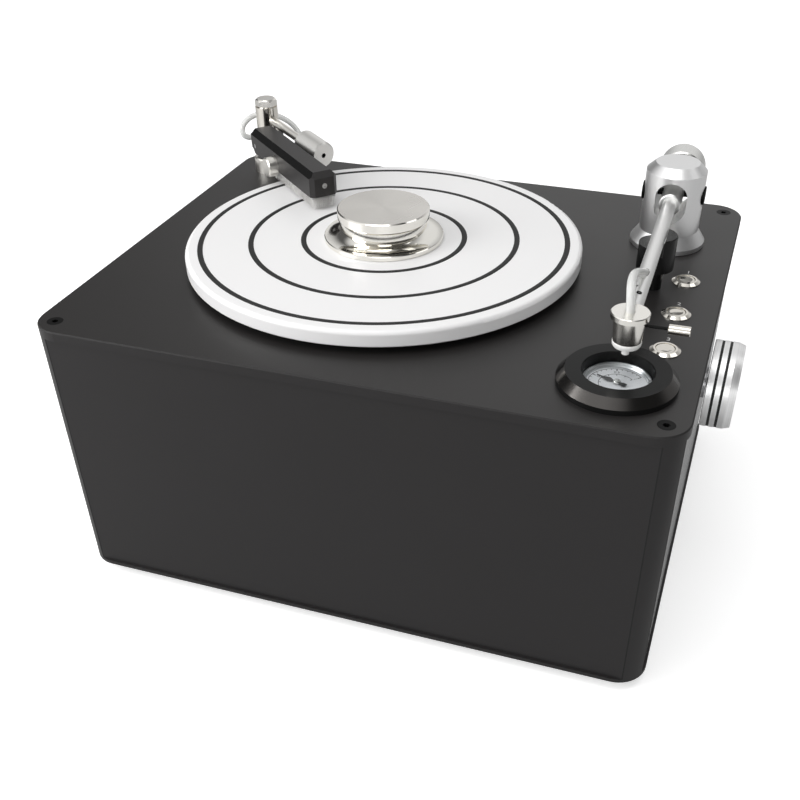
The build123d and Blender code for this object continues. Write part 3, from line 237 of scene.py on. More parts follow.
def moulded(name, color, roughness, **fixed):
    finish = Finish(name, color, roughness, **fixed)
    grain = varied(finish, color, 0.03, roughness, 0.06)
    return finish.bump(grain, 0.00003, 0.3)


def soft_rubber():
    color = (0.018, 0.018, 0.018)
    finish = Finish("black_rubber", color, 0.62, Specular_IOR_Level=0.35)
    grain = varied(finish, color, 0.2, 0.62, 0.12)
    return finish.bump(grain, 0.00008, 0.6)


def milky_hose():
    color = (0.96, 0.965, 0.95)
    finish = Finish("milky_hose", color, 0.16, Transmission_Weight=0.35, IOR=1.41)
    clouds = finish.noise(90.0, 2.0)
    finish.put("Base Color", finish.blend_colors(scaled(color, 0.94), color, clouds))
    return finish.put("Roughness", 0.12 + clouds * 0.1)


def clear_glass():
    """Thin flat glass: what is under it shows through, and it mirrors more at a low angle."""
    finish = Finish("gauge_glass", (1.0, 1.0, 1.0), 0.02)
    clear = finish.add("BsdfTransparent", None, Color=(0.97, 0.98, 0.98))
    outside = 1.0 - finish.add("NewGeometry", None, output="Backfacing")
    edge = finish.add("Fresnel", None, IOR=1.35) * outside
    gloss = finish.add("BsdfGlossy", None, Color=(1.0, 1.0, 1.0), Roughness=0.02)
    mixed = finish.add("MixShader", None, edge, clear, gloss)
    output = finish.nodes["Material Output"]
    finish.links.new(mixed.socket, output.inputs["Surface"])
    finish.nodes.remove(finish.surface)
    return finish


def knob_metal():
    """Turned knob: fine bands across its rim, of uneven shade, as the tool leaves them."""
    finish = Finish("knob_polished", (0.86, 0.86, 0.86), 0.26, Metallic=1.0)
    bands = finish.bands(finish.axis("X"), 0.0011)
    finish.put("Base Color", finish.blend_colors((0.80, 0.80, 0.80), (1.0, 1.0, 1.0), bands))
    finish.put("Roughness", 0.34 + bands * 0.16)
    return finish.bump(bands, 0.00002)


def platter_white():
    """White acetal with faint rings from the lathe."""
    color = (0.87, 0.865, 0.865)
    finish = Finish("platter_white", color, 0.36)
    varied(finish, color, 0.012, 0.36, 0.05, 9.0)
    return finish.bump(finish.bands(finish.radius(PLATTER_CENTRE), 0.0009, 1.0), 0.000006)


CASE_BLACK = anodised("case_black", (0.0180, 0.0167, 0.0170), 0.44)
DECK_BLACK = anodised("deck_black", (0.0165, 0.0152, 0.0149), 0.40, 0.45)
EDGE_BLACK = anodised("edge_black", (0.018, 0.017, 0.017), 0.62)
SIDE_BLACK = anodised("side_black", (0.0205, 0.0190, 0.0193), 0.40, Coat_Weight=0.7,
                      Coat_Roughness=0.12)
# Painted shade for the joints between the panels and the corner posts.
SEAM_PAINTED_SHADE = moulded("seam_painted_shade", (0.004, 0.004, 0.004), 0.8)
BLOCK_BLACK = anodised("block_black", (0.024, 0.0225, 0.0225), 0.40)
# Painted shade on the brush block's side chamfers, darker than the block's own black; also the arm
# rest's own black.
CHAMFER_SHADE_AND_REST_BLACK = anodised("chamfer_shade_and_rest_black", (0.007, 0.007, 0.007), 0.24, 0.2)
BEZEL_BLACK = anodised("bezel_black", (0.007, 0.007, 0.007), 0.30, 0.13)
BEVEL_SHEEN = satin_metal("bevel_sheen", (0.100, 0.095, 0.091), 0.17)
SCREW_BLACK = moulded("screw_black", (0.005, 0.005, 0.005), 0.45, Specular_IOR_Level=0.12)
# Painted shade: the walls of the grip's hex socket get a near-black instead of the grip's steel.
SOCKET_PAINTED_SHADE = moulded("socket_painted_shade", (0.01, 0.01, 0.01), 0.6)
RUBBER = soft_rubber()
INLET_BLACK = moulded("inlet_black", (0.02, 0.02, 0.02), 0.4)
MOTOR_GREY = moulded("motor_grey", (0.11, 0.12, 0.13), 0.5)

PLATTER_WHITE = platter_white()
TIP_WHITE = moulded("white_tip", (0.82, 0.82, 0.80), 0.35)
SKIRT_WHITE = moulded("skirt_white", (0.86, 0.86, 0.84), 0.3)
STRAND_WHITE = moulded("bristle_white", (0.98, 0.975, 0.965), 0.4, Transmission_Weight=0.75,
                       IOR=1.12)
HOSE = milky_hose()
GLASS = clear_glass()
BOTTLE = moulded("bottle_plastic", (0.62, 0.66, 0.64), 0.3)

NICKEL_POLISHED = polished_metal("polished_nickel", (0.79, 0.76, 0.70))
NICKEL_SATIN = satin_metal("satin_nickel", (0.88, 0.86, 0.81), 0.30)
CAP_NICKEL = polished_metal("cap_nickel", (0.86, 0.84, 0.80), 0.17)
HEAD_NICKEL = polished_metal("head_nickel", (0.97, 0.95, 0.90), 0.15)
GRIP_STEEL = satin_metal("grip_steel", (0.84, 0.83, 0.80), 0.34)
ALUMINIUM_SATIN = satin_metal("satin_aluminium", (0.88, 0.88, 0.87), 0.36)
PILLAR_SATIN = turned_metal("pillar_satin", (0.84, 0.84, 0.84), 0.38, PILLAR_CENTRE)
WEIGHT_TURNED = satin_metal("weight_turned", (0.74, 0.74, 0.72), 0.24)
KNOB_POLISHED = knob_metal()
CLAMP_TURNED = turned_metal("clamp_turned", (0.80, 0.775, 0.735), 0.27, PLATTER_CENTRE,
                            depth=0.000018, Anisotropic=0.75)
CLAMP_POLISHED = turned_metal("clamp_polished", (0.86, 0.84, 0.79), 0.09, PLATTER_CENTRE,
                              depth=0.000003)
ZINC = satin_metal("zinc_plate", (0.55, 0.55, 0.56), 0.34)
GAUGE_CAN_STEEL = satin_metal("gauge_can_steel", (0.50, 0.50, 0.52), 0.25)
BRONZE = satin_metal("bearing_bronze", (0.50, 0.34, 0.16), 0.35)

DIAL_PAPER = moulded("dial_paper", (0.78, 0.775, 0.80), 0.55)
RIM_STEEL = satin_metal("gauge_rim_steel", (0.66, 0.67, 0.68), 0.30)
NEEDLE_BLACK = moulded("needle_black", (0.012, 0.012, 0.014), 0.4)
NEEDLE_BOSS = polished_metal("needle_boss", (0.62, 0.62, 0.60), 0.2)
PRINT_BLACK = moulded("dial_print", (0.02, 0.02, 0.025), 0.5)
LABEL_PRINT = moulded("label_print", (0.55, 0.55, 0.54), 0.5)
BOARD = moulded("board_green", (0.01, 0.07, 0.025), 0.45)
WINDING = moulded("winding_tape", (0.42, 0.30, 0.06), 0.5)

NODE_FINISH = {
    CASE_BLACK: ("base_plate", "corner_posts", "front_panel", "rear_panel"),
    SIDE_BLACK: ("left_panel", "right_panel"),
    DECK_BLACK: ("top_plate",),
    BLOCK_BLACK: ("brush_block", "brush_bracket"),
    CHAMFER_SHADE_AND_REST_BLACK: ("arm_rest",),
    BEZEL_BLACK: ("gauge_bezel",),
    SCREW_BLACK: ("case_screws", "arm_pivot_screws"),
    RUBBER: ("rubber_feet", "platter_rings", "knob_rings", "hose_grommet"),
    PLATTER_WHITE: ("platter",),
    CLAMP_TURNED: ("record_clamp",),
    PILLAR_SATIN: ("arm_foot", "arm_pillar"),
    ALUMINIUM_SATIN: ("arm_hub", "suction_tube", "platter_spindle"),
    WEIGHT_TURNED: ("counterweight",),
    HEAD_NICKEL: ("suction_head",),
    NICKEL_POLISHED: ("finger_lift", "brush_column", "button_bezels", "power_button",
                      "dry_button", "clean_button"),
    NICKEL_SATIN: ("brush_foot", "brush_thumb_screw", "lever_handle"),
    CAP_NICKEL: ("column_cap",),
    TIP_WHITE: ("suction_tip",),
    KNOB_POLISHED: ("side_knob",),
    ZINC: ("deck_nuts", "motor_coupling", "motor_bracket", "block_screws", "suction_valve"),
    BRONZE: ("platter_bearing",),
    GAUGE_CAN_STEEL: ("gauge_can",),
    DIAL_PAPER: ("gauge_dial",),
    GLASS: ("gauge_glass",),
    NEEDLE_BLACK: ("gauge_needle",),
    MOTOR_GREY: ("platter_motor", "vacuum_pump", "dosing_pump"),
    BOTTLE: ("waste_bottle", "fluid_bottle"),
    BOARD: ("power_board",),
    WINDING: ("power_transformer",),
    INLET_BLACK: ("mains_inlet",),
    HOSE: ("waste_line",),
}


def finish_nodes():
    for finish, names in NODE_FINISH.items():
        for name in names:
            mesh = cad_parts[name].data
            mesh.materials.clear()
            mesh.materials.append(finish.material)


def second_finish(node, finish, chosen):
    """Gives another finish to the faces of a node that are chosen by middle, in metres, and normal."""
    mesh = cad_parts[node].data
    mesh.materials.append(finish.material)
    slot = len(mesh.materials) - 1
    for face in mesh.polygons:
        if chosen(face.center, face.normal):
            face.material_index = slot


LIFT_ROD_END = 22.8     # along the finger lift, where its black rod ends and the grip starts
GRIP_START = 62.0       # along the lever, where its grip starts
BEVEL_START = 33.0      # radius on the gauge's bezel, where its bevel starts
GRIP_END = Vector((90.5, 11.5, 36.5))       # middle of the grip's end face
LEVER_START = Vector((0, 0, 44.5))
SOCKET_RADIUS = 2.2
SOCKET_DEEP = 6.5


def in_grip_socket(at):
    """Whether a point, in millimetres round the brush post, is inside the hex socket of the grip."""
    along = (GRIP_END - LEVER_START).normalized()
    back = (at - GRIP_END).dot(along)
    off = (at - GRIP_END - along * back).length
    return off < SOCKET_RADIUS and -SOCKET_DEEP < back < -0.05


def mixed_nodes():
    """Nodes made of two materials: the faces are told apart by where they are."""
    arm_back = ARM.inverted()
    brush_back = BRUSH.inverted()
    gauge_back = GAUGE.inverted()
    clamp_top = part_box("record_clamp")[1][2]
    ahead = (BRUSH.to_3x3() @ Vector((1, 0, 0))).normalized()
    second_finish("finger_lift", SCREW_BLACK, lambda at, out: (arm_back @ at).x < LIFT_ROD_END)
    second_finish("lever_handle", GRIP_STEEL, lambda at, out: (brush_back @ at).x > GRIP_START)
    # Painted shade inside the grip's hex socket.
    second_finish("lever_handle", SOCKET_PAINTED_SHADE, lambda at, out: in_grip_socket(brush_back @ at))
    second_finish("gauge_bezel", BEVEL_SHEEN, lambda at, out: 0.3 < out.z < 0.9
                  and (gauge_back @ at).xy.length > BEVEL_START)
    second_finish("gauge_dial", PRINT_BLACK, lambda at, out: out.z < 0.5)
    # Painted shade: the brush block's slanted side chamfers get a darker black than the rest of the
    # block.
    second_finish("brush_block", CHAMFER_SHADE_AND_REST_BLACK, lambda at, out: 0.3 < out.z < 0.9
                  and abs(out.dot(ahead)) < 0.3)
    second_finish("record_clamp", CLAMP_POLISHED, lambda at, out: out.z < 0.98
                  or at.z < clamp_top - 0.5 * MM)
    second_finish("top_plate", CASE_BLACK, lambda at, out: abs(out.z) < 0.2)
    second_finish("top_plate", EDGE_BLACK, lambda at, out: 0.2 < out.z < 0.95)


# ---------------------------------------------------------------- making meshes
def smooth(mesh, angle=28.0):
    mesh.shade_smooth()
    mesh.set_sharp_from_angle(angle=math.radians(angle))


def mesh_of(name, grid):
    mesh = bpy.data.meshes.new(name)
    grid.to_mesh(mesh)
    grid.free()
    return mesh


def new_piece(name, mesh, finish, body):
    """A visible piece that rides on a body, or on none."""
    piece = bpy.data.objects.new(name, mesh)
    bpy.context.scene.collection.objects.link(piece)
    mesh.materials.clear()
    mesh.materials.append(finish.material)
    if body:
        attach(piece, body)
    return piece


def box(grid, size, middle):
    corners = bmesh.ops.create_cube(grid, size=1.0)["verts"]
    bmesh.ops.scale(grid, verts=corners, vec=size)
    bmesh.ops.translate(grid, verts=corners, vec=middle)


def raise_faces(grid, high):
    """Thickens the grid's flat faces upward into closed bodies."""
    raised = bmesh.ops.extrude_face_region(grid, geom=grid.faces[:])
    moved = [item for item in raised["geom"] if isinstance(item, bmesh.types.BMVert)]
    bmesh.ops.translate(grid, verts=moved, vec=(0, 0, high))
    bmesh.ops.recalc_face_normals(grid, faces=grid.faces[:])


def turned_ring(name, profile, place, finish, body, around=96):
    """A ring turned from a closed profile of (radius, height) points."""
    grid = bmesh.new()
    rings = []
    for step in range(around):
        angle = 2 * math.pi * step / around
        rings.append([grid.verts.new((r * math.cos(angle), r * math.sin(angle), z))
                      for r, z in profile])
    for index, ring in enumerate(rings):
        following = rings[(index + 1) % around]
        for step in range(len(profile)):
            after = (step + 1) % len(profile)
            grid.faces.new((ring[step], following[step], following[after], ring[after]))
    bmesh.ops.recalc_face_normals(grid, faces=grid.faces[:])
    grid.transform(place)
    mesh = mesh_of(name, grid)
    smooth(mesh)
    return new_piece(name, mesh, finish, body)


def number(name, words, high, place, finish):
    """Plain figures, as a thin flat mesh."""
    text = bpy.data.curves.new(name, "FONT")
    text.body = words
    text.size = high
    text.align_x = "CENTER"
    text.align_y = "CENTER"
    text.extrude = 0.02
    drawn = bpy.data.objects.new(name + "_text", text)
    bpy.context.scene.collection.objects.link(drawn)
    bpy.context.view_layer.update()
    mesh = bpy.data.meshes.new_from_object(drawn)
    bpy.data.objects.remove(drawn)
    mesh.transform(place @ Matrix.Translation((0, 0, 0.03)))
    return new_piece(name, mesh, finish, "case")


# ---------------------------------------------------------------- hoses
HOSE_SIDES = 24
SUCTION_ROUTE = [(0, -146.0, 40.0), (-0.8, -160.0, 46.0), (-2.4, -176.0, 53.4), (-3.2, -192.0, 59.0),
                 (-2.6, -204.5, 58.6), (-0.8, -ARM_LONG, 52.5), (0, -ARM_LONG, 42.0)]
FLUID_ROUTE = [(-11.5, -12.0, 26.0), (-11.5, -18.5, 26.5), (-14.0, -20.0, 34.0), (-16.0, -13.0, 40.5),
               (-17.0, -3.0, 43.0), (-16.5, 8.0, 42.0), (-12.5, 17.5, 38.5), (-4.0, 24.5, 33.5),
               (5.5, 27.0, 27.0), (12.0, 26.0, 18.5), (15.0, 23.5, 8.5), (15.0, 23.5, -7.0)]


def spline_path(points):
    """The smooth line through a hose's route, as Blender draws its NURBS curve."""
    curve = bpy.data.curves.new("route", "CURVE")
    curve.dimensions = "3D"
    curve.resolution_u = 12
    line = curve.splines.new("NURBS")
    line.points.add(len(points) - 1)
    for point, at in zip(line.points, points):
        point.co = (*at, 1.0)
    line.order_u = 3
    line.use_endpoint_u = True
    drawn = bpy.data.objects.new("route", curve)
    bpy.context.scene.collection.objects.link(drawn)
    bpy.context.view_layer.update()
    mesh = bpy.data.meshes.new_from_object(drawn)
    path = [vertex.co.copy() for vertex in mesh.vertices]
    bpy.data.objects.remove(drawn)
    bpy.data.meshes.remove(mesh)
    return path


def swept_tube(name, path, radius):
    """A round tube along a path, closed at both ends."""
    grid = bmesh.new()
    side = None
    rings = []
    for index, at in enumerate(path):
        ahead = path[min(index + 1, len(path) - 1)] - path[max(index - 1, 0)]
        ahead.normalize()
        side = ahead.orthogonal() if side is None else side - ahead * side.dot(ahead)
        side.normalize()
        other = ahead.cross(side)
        ring = []
        for step in range(HOSE_SIDES):
            angle = 2 * math.pi * step / HOSE_SIDES
            off = side * math.cos(angle) + other * math.sin(angle)
            ring.append(grid.verts.new(at + off * radius))
        rings.append(ring)
    for low, high in zip(rings, rings[1:]):
        for step in range(HOSE_SIDES):
            following = (step + 1) % HOSE_SIDES
            grid.faces.new((low[step], low[following], high[following], high[step]))
    grid.faces.new(reversed(rings[0]))
    grid.faces.new(rings[-1])
    mesh = mesh_of(name, grid)
    smooth(mesh, 60.0)
    return mesh


def hose(name, node, route, place, diameter, body):
    path = spline_path([place @ Vector(point) for point in route])
    mesh = swept_tube(name, path, diameter / 2 * MM)
    piece = new_piece(name, mesh, HOSE, body)
    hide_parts(node)
    return piece


def hoses():
    hose("air_hose", "suction_hose", SUCTION_ROUTE, ARM, 5.5, "suction_arm")
    fluid = hose("washing_hose", "fluid_hose", FLUID_ROUTE, BRUSH, 4.5, None)
    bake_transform(fluid)


# ---------------------------------------------------------------- gauge
DIAL_TOP = -0.6         # from the deck
PRINT_LOW = DIAL_TOP + 0.005
PRINT_HIGH = 0.04       # thickness of the ink
ZERO_AT = 157.0         # where the needle rests, in degrees from the right, anticlockwise
HALF_STEP = 58.0        # degrees for half a unit
FINE_STEPS = 5          # ticks for each half
DIAL_NUMBERS = ("-1", "-0.5", "0", "0.5", "1")
SCALE_LOW = ZERO_AT + 2 * HALF_STEP
SCALE_RINGS = ((17.4, 17.85), (10.9, 11.25))
NUMBERS_RADIUS = 13.2
NUMBERS_HIGH = 3.0
RIM_PROFILE = [(20.95, -0.55), (20.95, 2.45), (20.4, 2.45), (19.75, 1.55), (19.75, 1.15), (19.25, 1.15),
               (18.7, 0.35), (18.7, -0.55)]
POINTER_LOW = DIAL_TOP + 0.8
POINTER_OUTLINE = [(-6.4, -1.5), (-4.2, -1.7), (-1.5, -0.7), (3.0, -0.7), (6.0, -2.1), (10.6, -0.35),
                   (14.3, -0.2), (14.3, 0.2), (10.6, 0.35), (6.0, 2.1), (3.0, 0.7), (-1.5, 0.7),
                   (-4.2, 1.7), (-6.4, 1.5)]
BOSS_PROFILE = [(0.02, -0.5), (0.72, -0.5), (0.72, POINTER_LOW), (2.3, POINTER_LOW),
                (2.4, POINTER_LOW + 0.15), (2.4, POINTER_LOW + 1.0), (2.0, POINTER_LOW + 1.5),
                (1.2, POINTER_LOW + 1.62), (0.02, POINTER_LOW + 1.65)]


def scale_ring(grid, inner, outer, steps=96):
    """A flat strip along the scale, facing up."""
    start, end = SCALE_LOW, SCALE_LOW - 4 * HALF_STEP
    edge = []
    for step in range(steps + 1):
        angle = math.radians(start + (end - start) * step / steps)
        turn = Vector((math.cos(angle), math.sin(angle), 0.0))
        edge.append([grid.verts.new(turn * reach + Vector((0, 0, PRINT_LOW)))
                     for reach in (inner, outer)])
    for (a, b), (c, d) in zip(edge, edge[1:]):
        grid.faces.new((a, b, d, c))


def tick(grid, angle, inner, outer, wide):
    turn = math.radians(angle)
    ahead = Vector((math.cos(turn), math.sin(turn), 0.0))
    side = Vector((-ahead.y, ahead.x, 0.0)) * wide / 2
    base = Vector((0, 0, PRINT_LOW))
    grid.faces.new([grid.verts.new(base + at) for at in (
        ahead * inner - side, ahead * outer - side, ahead * outer + side, ahead * inner + side)])


def dial_marks():
    """Scale of a vacuum gauge: two rings, ticks for every tenth and quarter, numbers for every half."""
    grid = bmesh.new()
    for inner, outer in SCALE_RINGS:
        scale_ring(grid, inner, outer)
    for step in range(4 * FINE_STEPS + 1):
        angle = SCALE_LOW - step * HALF_STEP / FINE_STEPS
        half = step % FINE_STEPS == 0
        tick(grid, angle, 15.0 if half else 16.2, 17.5, 0.7 if half else 0.4)
    for step in range(9):
        tick(grid, SCALE_LOW - step * HALF_STEP / 2, 9.6, 11.0, 0.45)
    bmesh.ops.recalc_face_normals(grid, faces=grid.faces[:])
    raise_faces(grid, PRINT_HIGH)
    grid.transform(GAUGE)
    new_piece("dial_scale", mesh_of("dial_scale", grid), PRINT_BLACK, "case")
    for index, words in enumerate(DIAL_NUMBERS):
        angle = math.radians(SCALE_LOW - index * HALF_STEP)
        at = Vector((math.cos(angle), math.sin(angle), 0.0)) * NUMBERS_RADIUS
        turn = Matrix.Rotation(angle - math.pi / 2, 4, "Z")
        place = GAUGE @ Matrix.Translation((at.x, at.y, PRINT_LOW)) @ turn
        number("dial_number_%d" % index, words, NUMBERS_HIGH, place, PRINT_BLACK)


def gauge_rim():
    """The bright rim between the dial and the glass."""
    turned_ring("gauge_rim", RIM_PROFILE, GAUGE, RIM_STEEL, "case")


def gauge_pointer():
    """A broad arrow with a thin tip, a tail and a bright boss."""
    grid = bmesh.new()
    grid.faces.new([grid.verts.new((x, y, POINTER_LOW)) for x, y in POINTER_OUTLINE])
    raise_faces(grid, 0.5)
    grid.transform(GAUGE @ Matrix.Rotation(math.radians(ZERO_AT), 4, "Z"))
    mesh = mesh_of("gauge_pointer", grid)
    pointer = new_piece("gauge_pointer", mesh, NEEDLE_BLACK, "needle")
    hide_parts("gauge_needle")
    turned_ring("pointer_boss", BOSS_PROFILE, GAUGE, NEEDLE_BOSS, "needle", 48)


# ---------------------------------------------------------------- arm, buttons and seams
ARM_Z = 38.3            # the tube's middle line, from the deck
SCREW_PROFILE = [(0.01, -0.6), (1.0, -0.6), (1.0, 0.75), (0.9, 0.9), (0.45, 0.9), (0.4, 0.2),
                 (0.01, 0.2)]
PLUG_RADIUS = 6.6
PLUG_HIGH = 1.9
PLUG_OUT = 21.3         # from the pillar's middle line
TUBE_SCREW_RADIUS = 1.7
TUBE_SCREW_HIGH = 0.7
TUBE_SCREW_AT = -182.0  # along the tube
TUBE_SCREW_TURN = 8     # degrees round the tube, from straight up
TUBE_RADIUS = 4.7
SKIRT_PROFILE = [(8.6, 26.4), (8.75, 26.4), (8.95, 26.0), (9.0, 25.0), (8.8, 23.9), (8.1, 22.8),
                 (6.6, 21.9), (4.4, 21.35), (2.45, 21.2), (2.45, 22.9), (7.2, 22.9), (8.45, 24.3)]
SEAM_WIDE = 0.9
SEAM_DEEP = 0.12
FIGURE_BEHIND = 15.5    # from a button's middle to its figure
FIGURE_HIGH = 6.0


def screw_profile(radius, high):
    return [(radius * r, high * z) for r, z in SCREW_PROFILE]


def arm_screws():
    """The pillar's pivot plugs, a little proud, and the small screw in the tube beside the hose."""
    wide = screw_profile(PLUG_RADIUS, PLUG_HIGH)
    for name, side in (("pivot_plug_right", 1), ("pivot_plug_left", -1)):
        turn = Matrix.Rotation(side * math.pi / 2, 4, "Y")
        place = ARM @ Matrix.Translation((side * PLUG_OUT, 0, ARM_Z)) @ turn
        turned_ring(name, wide, place, SCREW_BLACK, "arm_swivel", 64)
    small = screw_profile(TUBE_SCREW_RADIUS, TUBE_SCREW_HIGH)
    turn = Matrix.Rotation(math.radians(TUBE_SCREW_TURN), 4, "Y")
    place = ARM @ Matrix.Translation((0, TUBE_SCREW_AT, ARM_Z)) @ turn
    turned_ring("tube_screw", small, place @ Matrix.Translation((0, 0, TUBE_RADIUS)), SCREW_BLACK,
                "suction_arm", 32)


def head_skirt():
    """The white rounded cap round the lower end of the suction head."""
    turned_ring("head_skirt", SKIRT_PROFILE, ARM @ Matrix.Translation((0, -ARM_LONG, 0)), SKIRT_WHITE,
                "suction_arm", 64)


def seam_shadows():
    """Painted shade: a dark strip laid over the joint between each panel and its corner posts."""
    grid = bmesh.new()
    for node, across in (("front_panel", 1), ("rear_panel", 1), ("left_panel", 0), ("right_panel", 0)):
        low, high = (Vector(corner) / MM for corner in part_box(node))
        along = 1 - across
        middle = 0.0 if across else CASE_X
        outer = high[across] if low[across] + high[across] > 2 * middle else low[across]
        for edge in (low[along], high[along]):
            at = Vector((0, 0, (low.z + high.z) / 2))
            at[across] = outer
            at[along] = edge
            size = Vector((0, 0, high.z - low.z))
            size[across] = SEAM_DEEP
            size[along] = SEAM_WIDE
            box(grid, size, at)
    grid.transform(Matrix.Scale(MM, 4))
    new_piece("seam_shadows", mesh_of("seam_shadows", grid), SEAM_PAINTED_SHADE, "case")


def button_numbers():
    """A plain figure behind each button."""
    for index, y in enumerate(BUTTONS_Y):
        place = turned_place((BUTTONS_X, y + FIGURE_BEHIND))
        number("button_number_%d" % (index + 1), str(index + 1), FIGURE_HIGH, place, LABEL_PRINT)


# ---------------------------------------------------------------- bristles, round the brush post
BRISTLE_START = 66.5
BRISTLE_END = 145.5
BRISTLE_HALF = 9.4
BRISTLE_MARGIN = 0.7    # from the strip's edge to the outer tufts
BLOCK_SIDE = -14.0
BLOCK_LOW = 26.8
BRISTLE_BACK = 2.0      # thickness of the backing strip
BRISTLE_TIP = 17.0
TUFTS_ALONG = 56
TUFTS_ACROSS = 13
TUFT_STRANDS = 4
TUFT_RADIUS = 0.3
STRAND_RADIUS = 0.16
STRAND_LEAN = 0.35
STRAND_UNEVEN = 0.7     # most that a strand falls short
THIRD = 2.0944


def bristle(grid, foot, tip, radius, turn):
    """A three-sided strand, thinner at its tip."""
    ends = []
    for at, reach in ((foot, radius), (tip, radius * 0.6)):
        ends.append([grid.verts.new(at + Vector((math.cos(turn + a), math.sin(turn + a), 0)) * reach)
                     for a in (0.0, THIRD, 2 * THIRD)])
    low, high = ends
    for step in range(3):
        after = (step + 1) % 3
        grid.faces.new((low[step], high[step], high[after], low[after]))
    grid.faces.new(high)


def bristle_strip():
    """The backing strip with rows of tufts, each of a few fine strands that spread a little."""
    draw = random.Random(7)
    grid = bmesh.new()
    back = BLOCK_LOW - BRISTLE_BACK
    long = BRISTLE_END - BRISTLE_START
    wide = 2 * BRISTLE_HALF
    box(grid, (long, wide, BRISTLE_BACK),
        ((BRISTLE_START + BRISTLE_END) / 2, BLOCK_SIDE, back + BRISTLE_BACK / 2))
    for row in range(TUFTS_ACROSS):
        share = row / (TUFTS_ACROSS - 1)
        y = BLOCK_SIDE - BRISTLE_HALF + BRISTLE_MARGIN + (wide - 2 * BRISTLE_MARGIN) * share
        for column in range(TUFTS_ALONG):
            share = column / (TUFTS_ALONG - 1)
            x = BRISTLE_START + BRISTLE_MARGIN + (long - 2 * BRISTLE_MARGIN) * share
            for strand in range(TUFT_STRANDS):
                turn = draw.uniform(0, 2 * math.pi)
                foot = Vector((x + TUFT_RADIUS * math.cos(turn), y + TUFT_RADIUS * math.sin(turn),
                               back + 0.1))
                lean = Vector((draw.uniform(-STRAND_LEAN, STRAND_LEAN),
                               draw.uniform(-STRAND_LEAN, STRAND_LEAN), 0))
                low = BRISTLE_TIP + draw.uniform(0.0, STRAND_UNEVEN)
                bristle(grid, foot, Vector((foot.x, foot.y, low)) + lean, STRAND_RADIUS, turn)
    grid.transform(BRUSH)
    mesh = mesh_of("bristle_strip", grid)
    piece = new_piece("bristle_strip", mesh, STRAND_WHITE, "brush_head")
    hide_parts("brush_bristles")


# ---------------------------------------------------------------- camera and light, in metres
CAMERA_AT = (0.2184, -0.6722, 0.5401)
CAMERA_RIGHT = (0.9468, 0.3220, -0.0089)
CAMERA_AHEAD = (-0.2545, 0.7308, -0.6335)
LIT_POINT = (0.0, 0.0, 0.15)
SOFT_BOXES = (
    # name, place, size, power
    ("left_front", (-1.0, -0.68, 0.66), (0.85, 0.8), 10.0),
    ("overhead", (-0.1, -0.5, 2.1), (1.3, 0.9), 8.0),
    ("right", (1.15, 0.5, 1.75), (0.6, 1.0), 2.5),
    ("front", (0.55, -1.45, 0.5), (1.0, 0.5), 5.0),
)
SKY = 0.40
SKY_PATCHES = (
    # degrees round from the right, degrees up, outer and inner edge in degrees, strength added
    (-144, 64, 54, 34, 0.60),
    (92, 26, 40, 12, 0.40),
    (-25, 42, 55, 28, -0.32),
    (150, 20, 45, 15, -0.30),
)
FLOOR_HALF = 6.0
FLOOR_GLOW = (0.52, 0.52, 0.52)
GLOW_MIRRORED = 0.34    # share of the glow that mirroring surfaces see
GLOW_THROUGH = 0.6      # share that is seen through clear pieces


def camera():
    data = bpy.data.cameras.new("camera")
    data.sensor_width = 36.0
    data.lens = 45.732
    data.shift_x = -0.01994
    data.shift_y = 0.15884
    view = bpy.data.objects.new("camera", data)
    ahead = Vector(CAMERA_AHEAD).normalized()
    right = Vector(CAMERA_RIGHT)
    right = (right - ahead * right.dot(ahead)).normalized()
    turn = Matrix((right, right.cross(ahead), -ahead)).transposed()
    view.matrix_world = Matrix.Translation(CAMERA_AT) @ turn.to_4x4()
    bpy.context.scene.collection.objects.link(view)
    bpy.context.scene.camera = view


def soft_box(name, at, size, power):
    data = bpy.data.lights.new(name, "AREA")
    data.shape = "RECTANGLE"
    data.size, data.size_y = size
    data.energy = power
    lamp = bpy.data.objects.new(name, data)
    turn = (Vector(LIT_POINT) - Vector(at)).to_track_quat("-Z", "Y")
    lamp.matrix_world = Matrix.Translation(at) @ turn.to_matrix().to_4x4()
    bpy.context.scene.collection.objects.link(lamp)


def direction(around, up):
    """Direction from the object, in degrees round from the right and up from level."""
    turn, rise = math.radians(around), math.radians(up)
    return (math.cos(turn) * math.cos(rise), math.sin(turn) * math.cos(rise), math.sin(rise))


def sky_strength(nodes, links):
    """Strength of the sky in each direction: even, with soft patches that are brighter or darker."""
    looking = nodes.new("ShaderNodeTexCoord").outputs["Generated"]
    total = nodes.new("ShaderNodeValue").outputs[0]
    total.default_value = SKY
    for around, up, outer, inner, strength in SKY_PATCHES:
        near = nodes.new("ShaderNodeVectorMath")
        near.operation = "DOT_PRODUCT"
        links.new(looking, near.inputs[0])
        near.inputs[1].default_value = direction(around, up)
        edge = nodes.new("ShaderNodeMapRange")
        edge.interpolation_type = "SMOOTHSTEP"
        for socket, value in (("From Min", math.cos(math.radians(outer))),
                              ("From Max", math.cos(math.radians(inner))), ("To Max", strength)):
            edge.inputs[socket].default_value = value
        links.new(near.outputs["Value"], edge.inputs["Value"])
        both = nodes.new("ShaderNodeMath")
        links.new(edge.outputs["Result"], both.inputs[0])
        links.new(total, both.inputs[1])
        total = both.outputs[0]
    return total


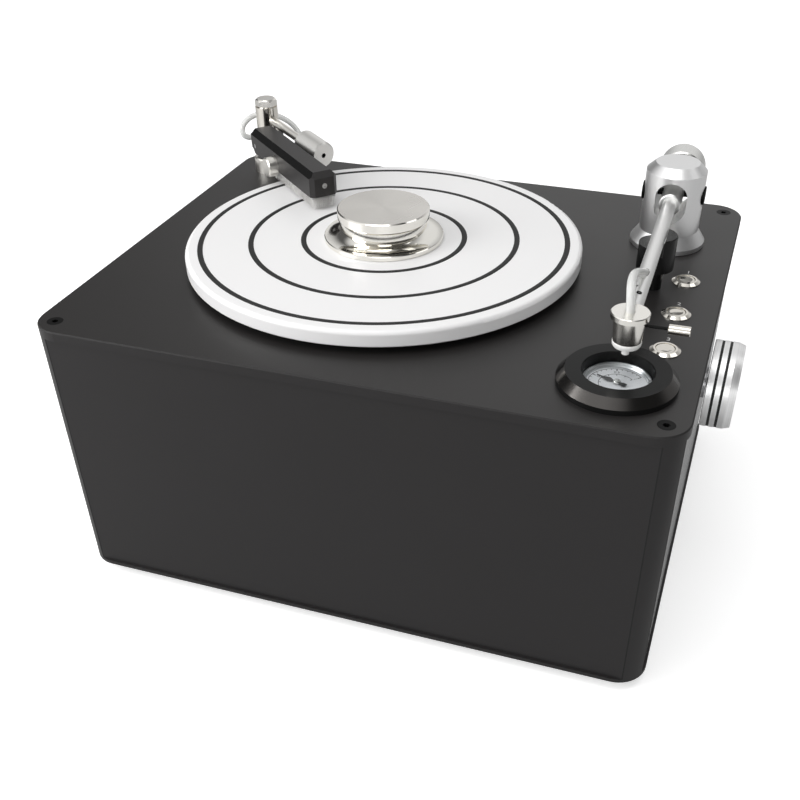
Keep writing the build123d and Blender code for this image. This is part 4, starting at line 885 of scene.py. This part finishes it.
def studio():
    """White surroundings for the camera; for the object, an uneven sky and four soft boxes."""
    world = bpy.data.worlds.new("studio")
    bpy.context.scene.world = world
    world.use_nodes = True
    nodes, links = world.node_tree.nodes, world.node_tree.links
    sky = nodes["Background"]
    sky.inputs["Color"].default_value = (1.0, 1.0, 1.0, 1.0)
    links.new(sky_strength(nodes, links), sky.inputs["Strength"])
    white = nodes.new("ShaderNodeBackground")
    white.inputs["Strength"].default_value = 1.0
    rays = nodes.new("ShaderNodeLightPath")
    mix = nodes.new("ShaderNodeMixShader")
    links.new(rays.outputs["Is Camera Ray"], mix.inputs[0])
    links.new(sky.outputs[0], mix.inputs[1])
    links.new(white.outputs[0], mix.inputs[2])
    links.new(mix.outputs[0], nodes["World Output"].inputs["Surface"])
    for name, at, size, power in SOFT_BOXES:
        soft_box(name, at, size, power)


def floor():
    """A floor that is white for the camera and greyer for what the object mirrors."""
    mesh = bpy.data.meshes.new("floor")
    mesh.from_pydata([(x * FLOOR_HALF, y * FLOOR_HALF, 0)
                      for x, y in ((-1, -1), (1, -1), (1, 1), (-1, 1))], [], [(0, 1, 2, 3)])
    ground = bpy.data.objects.new("floor", mesh)
    bpy.context.scene.collection.objects.link(ground)
    finish = Finish("floor_white", (0.55, 0.55, 0.55), 0.9, Specular_IOR_Level=0.0)
    seen = finish.add("LightPath", None, output="Is Camera Ray")
    mirrored = finish.add("LightPath", None, output="Is Glossy Ray")
    through = finish.add("LightPath", None, output="Is Transmission Ray")
    finish.put("Base Color", finish.blend_colors((0.45, 0.45, 0.45), (0.85, 0.85, 0.85), seen))
    share = seen + mirrored * GLOW_MIRRORED + through * GLOW_THROUGH
    finish.put("Emission Color", finish.blend_colors((0.0, 0.0, 0.0), FLOOR_GLOW, share))
    finish.put("Emission Strength", 1.0)
    mesh.materials.append(finish.material)


finish_nodes()
mixed_nodes()
camera()
hoses()
dial_marks()
gauge_rim()
gauge_pointer()
arm_screws()
head_skirt()
seam_shadows()
button_numbers()
bristle_strip()
studio()
floor()

scene = bpy.context.scene
scene.view_settings.view_transform = "Standard"
